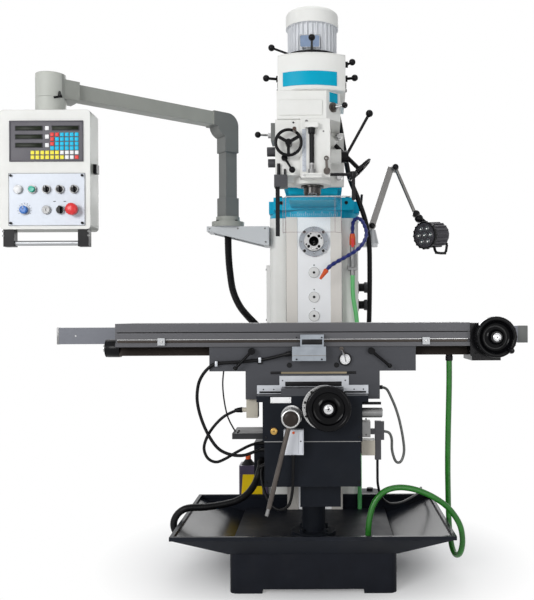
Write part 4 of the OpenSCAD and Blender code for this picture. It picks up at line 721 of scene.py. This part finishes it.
for tag, x in (("a", -1032), ("b", -980), ("c", -925)):
    mark = Piece("selector_mark_" + tag, "selector_" + tag, "black_switch", BLACK)
    mark.slab(x, TOP_ROW + 7.5, 0.8, 3.5, FY - 24.6, FY - 23.4, PALE, 0.2)
    mark.lathe((x, FY - 12, TOP_ROW), OUT, [(12, 0), (11, 1.4), (0, 1.4)])
    mark.done()

# Head: screws, quill scale, depth stop and the motor plate's frame
head = Piece("head_screws", "head", "head_trim", OXIDE)
head.bolts((-96, 96), (-330,), (2087,), UP, 6, 5)
head.bolts((-110, 110), (-110,), (2087,), UP, 6, 5)
for x, z in product((-111, 111), (1640, 1812)):
    head.lathe((x, -214, z), OUT, [(0, 0), (15, 0), (15, 2), (12.5, 2.4)], STEEL)
    head.hexnut((x, -216, z), OUT, 11.5, 9, STEEL)
for i in range(33):
    z = 1626 + i * 5
    head.box(-32 if i % 4 else -36, -23, -447.6, -446.8, z - 0.3, z + 0.3, b=0)
for x, y, _ in around(0, -460, 13.6, turns(28)):
    head.lathe((x, y, 1614), UP, [(0, 0), (0.9, 0), (0.9, 12), (0, 12)], DULL, 6)
head.lathe((0, -460, 1646), UP, [(6.2, 0), (9, 0), (8, 6), (6.2, 7)], STEEL, 28)
head.bolt((-72, -430, 1818), OUT, 4, 3)
head.bolt((-20, -445, 1819), OUT, 6, 4, DULL)
head.bolt((46, -445, 1780), OUT, 3.5, 2, DULL)
for z in (1600, 1606):
    head.slab(0, z, 40, 0.3, -474.8, -473.8, DULL)
head.lathe((-30, -474, 1603), OUT, [(0, 0), (5, 0), (4.4, 4), (0, 4.4)], STEEL, 20)
head.border(-50, 34, -312.6, -311.2, 2154, 2207, 3, ALU, 0.3)
for x, z in product((-46, 30), (2158, 2203)):
    head.lathe((x, -312.5, z), OUT, [(0, 0), (2, 0), (1.5, 1), (0, 1.2)], STEEL, 12)
head.done()
bands = Piece("housing_bands", "head", "white_paint", WHITE)
for z in (1945, 2084):
    bands.tube([(x, y, z) for x, y, _ in around(0, -205, 250.3, range(-121, -58, 2))], 2.6, 8)
for s in (-1, 1):
    bands.box(*sorted((s * 134, s * 139)), -360, -325, 1974, 1996, OXIDE, 1.5)
    bands.lathe((s * 134, -390, 1954), (s, 0, 0), [(0, 0), (7, 0), (6, 5), (0, 6)], OXIDE, 20)
    bands.box(*sorted((s * 134, s * 136)), -310, -120, 2000, 2060, b=1.5)
bands.box(-137, -134, -352, -322, 2034, 2062, OXIDE)
bands.done()

# Chip guard: polished edges of the bent sheet
guard = Piece("guard_edges", "guard", "clear_guard", RIM)
bend = [(-116, -404.5), (-104, -432.2), (90, -432.2), (115, -404.5)]
for x, y in bend:
    guard.box(x - 0.9, x + 0.9, y - 0.6, y + 0.6, 1386, 1526, b=0)
for z in (1386.8, 1525.2):
    guard.tube([(x, y, z) for x, y in bend], 0.9, 6)
guard.done()

# Coolant jet: tapered nozzle and its collar
nozzle = Piece("jet_nozzle", "jet", "jet_plastic", ORANGE)
tip = Vector((29, -18, 1223))
way = Vector((55, -8, 1260)) - tip
end = way.length
nozzle.lathe(tip, way, [(3, 0.2), (5.8, 0), (7, 10), (10.6, end - 8), (11.4, end - 4), (11.4, end + 3),
                        (9, end + 5)], n=24)
nozzle.done()

# Column: spindle ring screws, cover screws, strips of painted shade beside the ways, bracket screws
column = Piece("column_screws", "frame", "cover_paint", DULL)
for x, z in product((-43, 43), (SPINDLE_Z - 43, SPINDLE_Z + 43)):
    column.lathe((x, 80, z), OUT, [(6.8, 0), (9, 0), (8.6, 1.2), (6.8, 1.2)], STEEL, 28)
for x, z, _ in around(0, SPINDLE_Z, 57, turns(4)):
    column.lathe((x, 80, z), OUT, [(0, 0.6), (2.4, 0.6), (3, 0)], n=16)
for z in COVER_Z:
    column.torus((0, 87, z), OUT, 24.4, 0.7, k=6)
# Thin grey strips down the outer edges of the ways: painted shade of the gaps between the ways and the
# column's sides
for x in (-128.6, 128.6):
    column.box(x - 0.9, x + 0.9, 88.6, 94, 1034, 1496, b=0.3)
column.bolts((-480, -350, -225), (90,), (1462,), OUT, 4, 3)
column.bolt((-222, 90, 1400), OUT, 4, 3)
for x, y, _ in around(-400, 135, 62, SQUARE):
    column.bolt((x, y, 1496), UP, 6, 6, OXIDE)
column.bolts((-227,), (215, 425), (800, 1040, 1280), LEFT, 5, 4)
column.bolts((-150, 150), (523,), (280, 620, 980), REAR, 5, 4)
column.bolts((-135, 135), (595.8,), (1160, 1450), REAR, 5, 4)
column.bolts((285,), (200, 230), (1402,), UP, 5, 5, OXIDE)
column.done()
knobs = Piece("side_knobs", "frame", "black_handles", CAST)
for z in (1198, 1112):
    knobs.lathe((206.6, 350, z), RIGHT, [(30, 0), (30, 10), (20, 12), (20, 36)], OXIDE, 28)
    knobs.lathe((242, 350, z), RIGHT, [(0, 0), (24, 0), (27, 4), (27, 30), (23, 37), (0, 38)])
knobs.done()
nose = Piece("nose_screws", "arbor_spindle", "ground_steel", OXIDE)
for x, z, _ in around(0, SPINDLE_Z, 37, (22.5, 112.5, 202.5, 292.5)):
    nose.bolt((x, 67, z), OUT, 4, 1.2)
nose.done()

# Turret and ram: clamp bolts and the swivel scale
turret = Piece("turret_bolts", "turret", "blue_paint", OXIDE)
for x, y in product((-158, 158), (150, 480)):
    turret.lathe((x, y, 1605), UP, [(0, 0), (14, 0), (14, 2), (0, 2)], STEEL, 28)
    turret.hexnut((x, y, 1607), UP, 11, 11)
turret.bolts((-150, 150), (102,), (1580,), OUT, 8, 7)
for i, (x, y, a) in enumerate(around(0, 319.5, 216, [240 + 2.5 * k for k in range(25)])):
    turret.box(x - 0.5, x + 0.5, y - 0.6, y + 0.4, 1520, 1532 if i % 4 else 1540, PALE, 0,
               Matrix.Rotation(a - math.pi * 1.5, 3, "Z"))
turret.done()
ram = Piece("ram_bolts", "ram", "blue_paint", STEEL)
for x, z, _ in around(0, 1712, 92, SQUARE):
    ram.hexnut((x, -144, z), REAR, 12, 9)
ram.done()

# Knee: a painted highlight along the seam, dial, crank seat, switch box, sight glass, plate and screws
knee = Piece("knee_trim", "knee", "knee_trim", OXIDE)
# A pale strip along the seam of the knee's front: a painted highlight on its edge
knee.box(-182, 182, -561.2, -559.6, 582.6, 585.4, DULL, 0.3)
for i, (x, z, a) in enumerate(around(*DIAL, 80, range(0, 360, 6))):
    knee.slab(x, z, 2.4 if i % 5 else 4, 0.35, -574.6, -573.6, a=a)
for x, z, _ in around(*DIAL, 76, (130, 165, 205)):
    knee.bolt((x, -574, z), OUT, 4.6, 5.2)
knee.bolt((DIAL[0] - 76, -574, DIAL[1]), OUT, 2, 5.2)
knee.lathe((CRANK[0], -560, CRANK[1]), OUT, [(26, 0), (40, 0), (40, 12), (36, 17), (26, 19.6)], STEEL, 48)
for x, z, a in around(*CRANK, 40, range(0, 360, 12)):
    knee.slab(x, z, 0.6, 0.5, -570, -562, a=a)
for x0, x1 in ((-105, -52), (-50, -36)):
    knee.box(x0, x1, -602.5, -599.5, 545, 629, SWITCH, 1.5)
knee.lathe((-43, -602, 592), OUT, [(0, 0), (3, 0), (2.4, 1.4), (0, 1.6)], n=16)
knee.lathe((-145, -566, 624), OUT, [(0, 0), (12.6, 0), (12, 3), (7, 4), (0, 4)], BRASS)
knee.box(-149, -141, -571, -569.8, 623, 625, b=0.2)
for x, z in product((-152, -86), (733, 749)):
    knee.lathe((x, -562, z), OUT, [(0, 0), (1.5, 0), (1, 1), (0, 1)], DULL, 10)
knee.bolts((-176, 176), (-560,), (600,), OUT, 4.4, 3)
knee.bolts((-176, 176), (-555,), (430,), OUT, 4.4, 3)
knee.bolts((205,), (-490,), (600, 660), OUT, 3, 11)
knee.bolts((-290,), (-480, -440), (607,), UP, 4, 4)
knee.lathe((266, -490, 684), RIGHT, [(0, 0), (17, 0), (15, 3), (0, 3)], STEEL, 28)
knee.done()
collar = Piece("crank_collar", "crank", "bright_levers", STEEL)
hub = (CRANK[0], -655, CRANK[1])
collar.lathe(hub, OUT, [(34, -3), (34, 1), (32, 2.4), (29, 2.4), (28, 1)], n=44)
collar.lathe(hub, OUT, [(28, 1), (24, 5), (15, 7), (0, 7.4)], HUB, 40)
collar.lathe((CRANK[0], -580.5, CRANK[1]), OUT, [(34, 0), (36, 3), (36, 22), (34, 26)], n=48)
collar.done()


# Handwheels: finger grips, dished web, chrome eye and, on one, a handle
def wheel(name, body, place, y, r, depth, hub, eye, handle=None):
    x, z = place
    front = y - depth
    w = Piece(name, body, "black_handles", GLOSS)
    w.torus((x, front + 6, z), OUT, r - 8.5, 8.5, 64, 12)
    for px, pz, _ in around(x, z, r - 3, range(0, 360, 24)):
        w.lathe((px, front + 14, pz), OUT, [(0, 0), (2.6, 0.6), (3, 8), (2.6, 15.4), (0, 16)], n=10)
    w.lathe((x, y - 9, z), OUT, [(hub, depth - 18), (hub + 3, 17), (hub + 8, 12), (r - 36, 10), (r - 28, 11),
                                 (r - 22, 15), (r - 16, depth - 18)], n=64)
    w.lathe((x, front - 8, z), OUT, [(eye, -3), (eye + 0.6, 0), (eye - 2, 2.4), (eye * 0.6, 3),
                                     (eye * 0.5, 0.6), (0, 0.6)], CHROME, 36)
    w.lathe((x, front - 8, z), OUT, [(0, 1.4), (4, 1.4), (4.4, 0.4)], OXIDE, 6)
    if handle:
        w.lathe((handle[0], front + 6, handle[1]), OUT,
                [(0, 0), (9, 0), (6, 6), (7, 10), (11, 24), (12, 44), (9, 56), (0, 58)], n=24)
    w.done()


wheel("cross_wheel_rim", "cross_wheel", CROSS_WHEEL, -574.3, 85, 46, 25, 14)
wheel("table_wheel_rim", "table_wheel", TABLE_WHEEL, -503.3, 78.5, 44, 22, 15, (744, 924))

# Saddle: reader screws, lead clips, gib strip ends, gauge face, wiper felts
saddle = Piece("saddle_trim", "saddle", "saddle_trim", OXIDE)
saddle.bolts((-60, 36), (-530,), (892,), OUT, 3.4, 2.6)
saddle.bolts((-60, 36), (-525,), (975,), OUT, 3, 2.4)
saddle.box(-77, 52, -531, -529.6, 905, 908, DULL, 0.3)
saddle.box(-40, 38, -526.2, -524.6, 948, 968, b=0.6)
for x, z in ((-203, 888), (-371, 874)):
    saddle.slab(x, z, 5, 10, -495, -492.8, WIPER, 0.6)
    for dz in (-10, 7.4):
        saddle.box(x - 5, x + 5, -493, -474.6, z + dz, z + dz + 2.6, WIPER, 0.4)
for x0, x1 in ((-163, -122), (132, 168)):
    saddle.box(x0, x1, -479, -474.2, 832.4, 842.6, b=0.5)
gx, gz = GAUGE
saddle.lathe((gx, -487, gz), OUT, [(20, 0), (24.6, 0), (25, 3), (23.4, 5), (21, 5), (20, 3)], n=44)
saddle.lathe((gx, -487, gz), OUT, [(0, 1.2), (20.6, 1.2)], PALE, 40)
for x, z, a in around(gx, gz, 16, turns(12)):
    saddle.slab(x, z, 2, 0.4, -488.9, -488.1, a=a)
saddle.slab(gx + 0.1, gz + 4, 1.5, 14, -489.6, -488.8, b=0.2, a=math.radians(12))
saddle.lathe((gx, -488, gz), OUT, [(0, 0), (2.4, 0), (2, 2.2), (0, 2.4)], STEEL, 16)
saddle.bolts((-116, 126), (-485,), (808,), OUT, 2.6, 2)
saddle.bolts((-190, -150, 160, 196), (-485,), (774,), OUT, 2.6, 2)
saddle.box(-106, 112, -487, -484.4, 786, 804, RUBBER, 0.6)
for x0, x1 in ((-206, -122), (122, 206)):
    saddle.box(x0, x1, -486.4, -484.4, 760, 767, RUBBER, 0.4)
saddle.bolts((-250, 250), (-440, -200), (735,), DOWN, 4, 3)
saddle.done()

# Table: gearbox bolts, wheel seat and its marks, end cap, scale bar ends, strips of the front, with a line of
# painted highlight and a line of painted shade
table = Piece("table_trim", "table", "table_trim", OXIDE)
table.bolts((630, 729), (-489,), (912, 1018), OUT, 5, 4)
wx, wz = TABLE_WHEEL
table.lathe((wx, -489, wz), OUT, [(46, 0), (48, 2), (48, 12), (45.4, 14)], STEEL, 56)
for i, (x, z, a) in enumerate(around(wx, wz, 47.8, range(0, 360, 9))):
    table.slab(x, z, 0.6, 0.4, -502, -496 if i % 5 else -492, a=a)
table.lathe((-820, -395, 932), LEFT, [(35, -56), (35.6, -50), (35.6, -8), (30, 0), (15, 1)], BLACK, 40)
table.hexnut((-830, -395, 932), LEFT, 10, 0.9, STEEL)
table.box(-1090, -1080, -185.8, -159.2, 941, 1013, DULL, 2)
table.box(868, 909.8, -186.4, -158.6, 940.5, 1013, POST, 2)
table.box(-755, 600, -476.4, -474.8, 955.4, 965.6, TAIL, 0)
# A bright line along the table's front: painted highlight
table.box(-755, 600, -485.3, -484.7, 966.2, 968.4, STEEL, 0)
# A dark line along the table's front: painted shade in its groove
table.box(-755, 600, -481.2, -480.4, 993.2, 996.8, b=0)
table.bolts((-1010, -800, 680, 830), (-185,), (977,), OUT, 4, 2, STEEL)
table.bolts((-582, 438), (-497,), (960,), OUT, 5, 4, STEEL)
table.done()

# Lamp: bezel, seven lights, handle and pivots
lamp = Piece("lamp_face", "lamp", "lamp_body", BLACK)
aim = Vector((0.7, 0.7, 0.1)).normalized()
mid = Vector((513, 130, 1431))
u = aim.cross(Vector(UP)).normalized()
v = u.cross(aim)
lamp.lathe(mid, -aim, [(63, -14), (64, -4), (63, 1), (58, 2), (55, -4), (0, -4)], n=56)
for c, s, _ in around(0, 0, 62, turns(18)):
    lamp.lathe(mid + c * u + s * v, -aim, [(0, -15), (5, -14), (5, 0.5), (3.6, 2), (0, 2.2)], n=12)
for c, s, _ in [(0, 0, 0), *around(0, 0, 34, turns(6))]:
    light = mid + c * u + s * v
    lamp.lathe(light, -aim, [(13, -4), (13.6, 0.4), (12.6, 1), (11.6, -1)], DULL, 28)
    lamp.lathe(light, -aim, [(11.8, -1.4), (8, 0.8), (3.4, 1.8)], LENS, 24)
    lamp.lathe(light, -aim, [(3.4, 1.8), (2, 2.1), (0, 2.2)], LED, 12)
lamp.tube([(560, 160, 1394), (568, 163, 1362), (576, 168, 1353), (598, 186, 1352), (616, 201, 1353),
           (626, 210, 1362), (632, 218, 1392), (626, 216, 1404), (600, 202, 1411)], 6.5)
lamp.bolt((480, 158.4, 1535), OUT, 9, 6)
lamp.done()
for name, body, x, y, z in (("lamp_pivot_low", "lamp_lower", 275, 197, 1485),
                            ("lamp_pivot_high", "lamp_upper", 385, 175, 1758)):
    pivot = Piece(name, body, "lamp_alloy", BLACK)
    pivot.lathe((x, y, z), OUT, [(0, 0), (14, 0), (13, 5), (8, 7), (0, 7)], n=28)
    pivot.hexnut((x, y - 6.5, z), OUT, 6, 4, OXIDE)
    pivot.done()

# Tray and base: rolled rim, drain strainer and anchor nuts
RIM_SIDE, RIM_X, RIM_Z, RIM_R = 531.006, 531, 228, 3.8
tray = Piece("tray_rim", "frame", "black_paint", TRAY)
for x in (-RIM_SIDE, RIM_SIDE):
    tray.tube([(x, -578, RIM_Z), (x, 117, RIM_Z)], RIM_R, 10)
tray.tube([(-RIM_X, -579, RIM_Z), (RIM_X, -579, RIM_Z)], RIM_R, 10)
tray.lathe((-250, -420, 168), UP, [(0, 1.5), (26, 1.5), (28, 0.5), (30, 0)], DULL)
for x, y, _ in around(-250, -420, 16, turns(8)):
    tray.lathe((x, y, 169), UP, [(0, 1), (3, 1), (3, 0)], OXIDE, 12)
for x, y in product((-275, 275), (-480, 480)):
    tray.hexnut((x, y, 168), UP, 17, 14, OXIDE)
tray.done()

# Stage: white surroundings, a pale floor that keeps the shadow, four soft lamps
WORLD_LIGHT = 0.38
SEEN_LIGHT = 1
FLOOR_GREY = 0.96
FADE_FROM, FADE_TO = 0.4, 0.95


def seen(tree):
    """A value of 1 for camera, glossy and transmission rays."""
    rays = tree.nodes.new("ShaderNodeLightPath")
    got = rays.outputs["Is Camera Ray"]
    for key in ("Is Glossy Ray", "Is Transmission Ray"):
        more = tree.nodes.new("ShaderNodeMath")
        more.operation = "MAXIMUM"
        tree.links.new(got, more.inputs[0])
        tree.links.new(rays.outputs[key], more.inputs[1])
        got = more.outputs["Value"]
    return got


def swap(tree, fac, plain, bright, end):
    """Shows the bright shader instead of the plain one as far as fac says."""
    pick = tree.nodes.new("ShaderNodeMixShader")
    for value, socket in zip((fac, plain, bright), pick.inputs):
        tree.links.new(value, socket)
    tree.links.new(pick.outputs["Shader"], tree.nodes[end].inputs["Surface"])


world = bpy.data.worlds.new("world")
scene.world = world
world.use_nodes = True
sky = world.node_tree
soft = put(sky.nodes["Background"], {"Color": (0.94, 0.96, 1, 1), "Strength": WORLD_LIGHT})
white = put(sky.nodes.new("ShaderNodeBackground"), {"Color": (1, 1, 1, 1), "Strength": SEEN_LIGHT})
swap(sky, seen(sky), soft.outputs["Background"], white.outputs["Background"], "World Output")

floor_mesh = bpy.data.meshes.new("floor")
floor_mesh.from_pydata([(-9, -6, 0), (9, -6, 0), (9, 12, 0), (-9, 12, 0)], [], [(0, 1, 2, 3)])
floor = bpy.data.objects.new("floor", floor_mesh)
scene.collection.objects.link(floor)
floor_paint = bpy.data.materials.new("floor")
floor_paint.use_nodes = True
tree = floor_paint.node_tree
link = tree.links.new
new = tree.nodes.new
matt = put(tree.nodes["Principled BSDF"], {"Base Color": (*[FLOOR_GREY] * 3, 1), "Roughness": 0.9})
where = new("ShaderNodeTexCoord")
far = new("ShaderNodeVectorMath")
far.operation = "LENGTH"
link(where.outputs["Object"], far.inputs[0])
fade = put(new("ShaderNodeMapRange"), {"From Min": FADE_FROM, "From Max": FADE_TO})
link(far.outputs["Value"], fade.inputs["Value"])
both = new("ShaderNodeMath")
both.operation = "MULTIPLY"
link(fade.outputs["Result"], both.inputs[0])
link(seen(tree), both.inputs[1])
bright = new("ShaderNodeEmission")
swap(tree, both.outputs["Value"], matt.outputs["BSDF"], bright.outputs["Emission"], "Material Output")
floor_mesh.materials.append(floor_paint)


def area(name, place, aim, size, power):
    data = bpy.data.lights.new(name, "AREA")
    data.shape = "RECTANGLE"
    data.size, data.size_y = size
    data.energy = power
    o = bpy.data.objects.new(name, data)
    scene.collection.objects.link(o)
    o.location = place
    o.rotation_euler = (Vector(aim) - Vector(place)).to_track_quat("-Z", "Y").to_euler()


area("key", (-4.2, -7, 3), (0, 0, 1.1), (3.2, 2.6), 285)
area("fill", (2.9, -7.8, 1.5), (0, 0, 1), (2.6, 2.4), 88)
area("top", (0.2, 0.2, 5.4), (0, 0, 1), (3.4, 3.4), 75)
area("back", (0.5, 4.6, 3), (0, 0, 1.1), (2.6, 2.2), 70)

scene.view_settings.view_transform = "Standard"
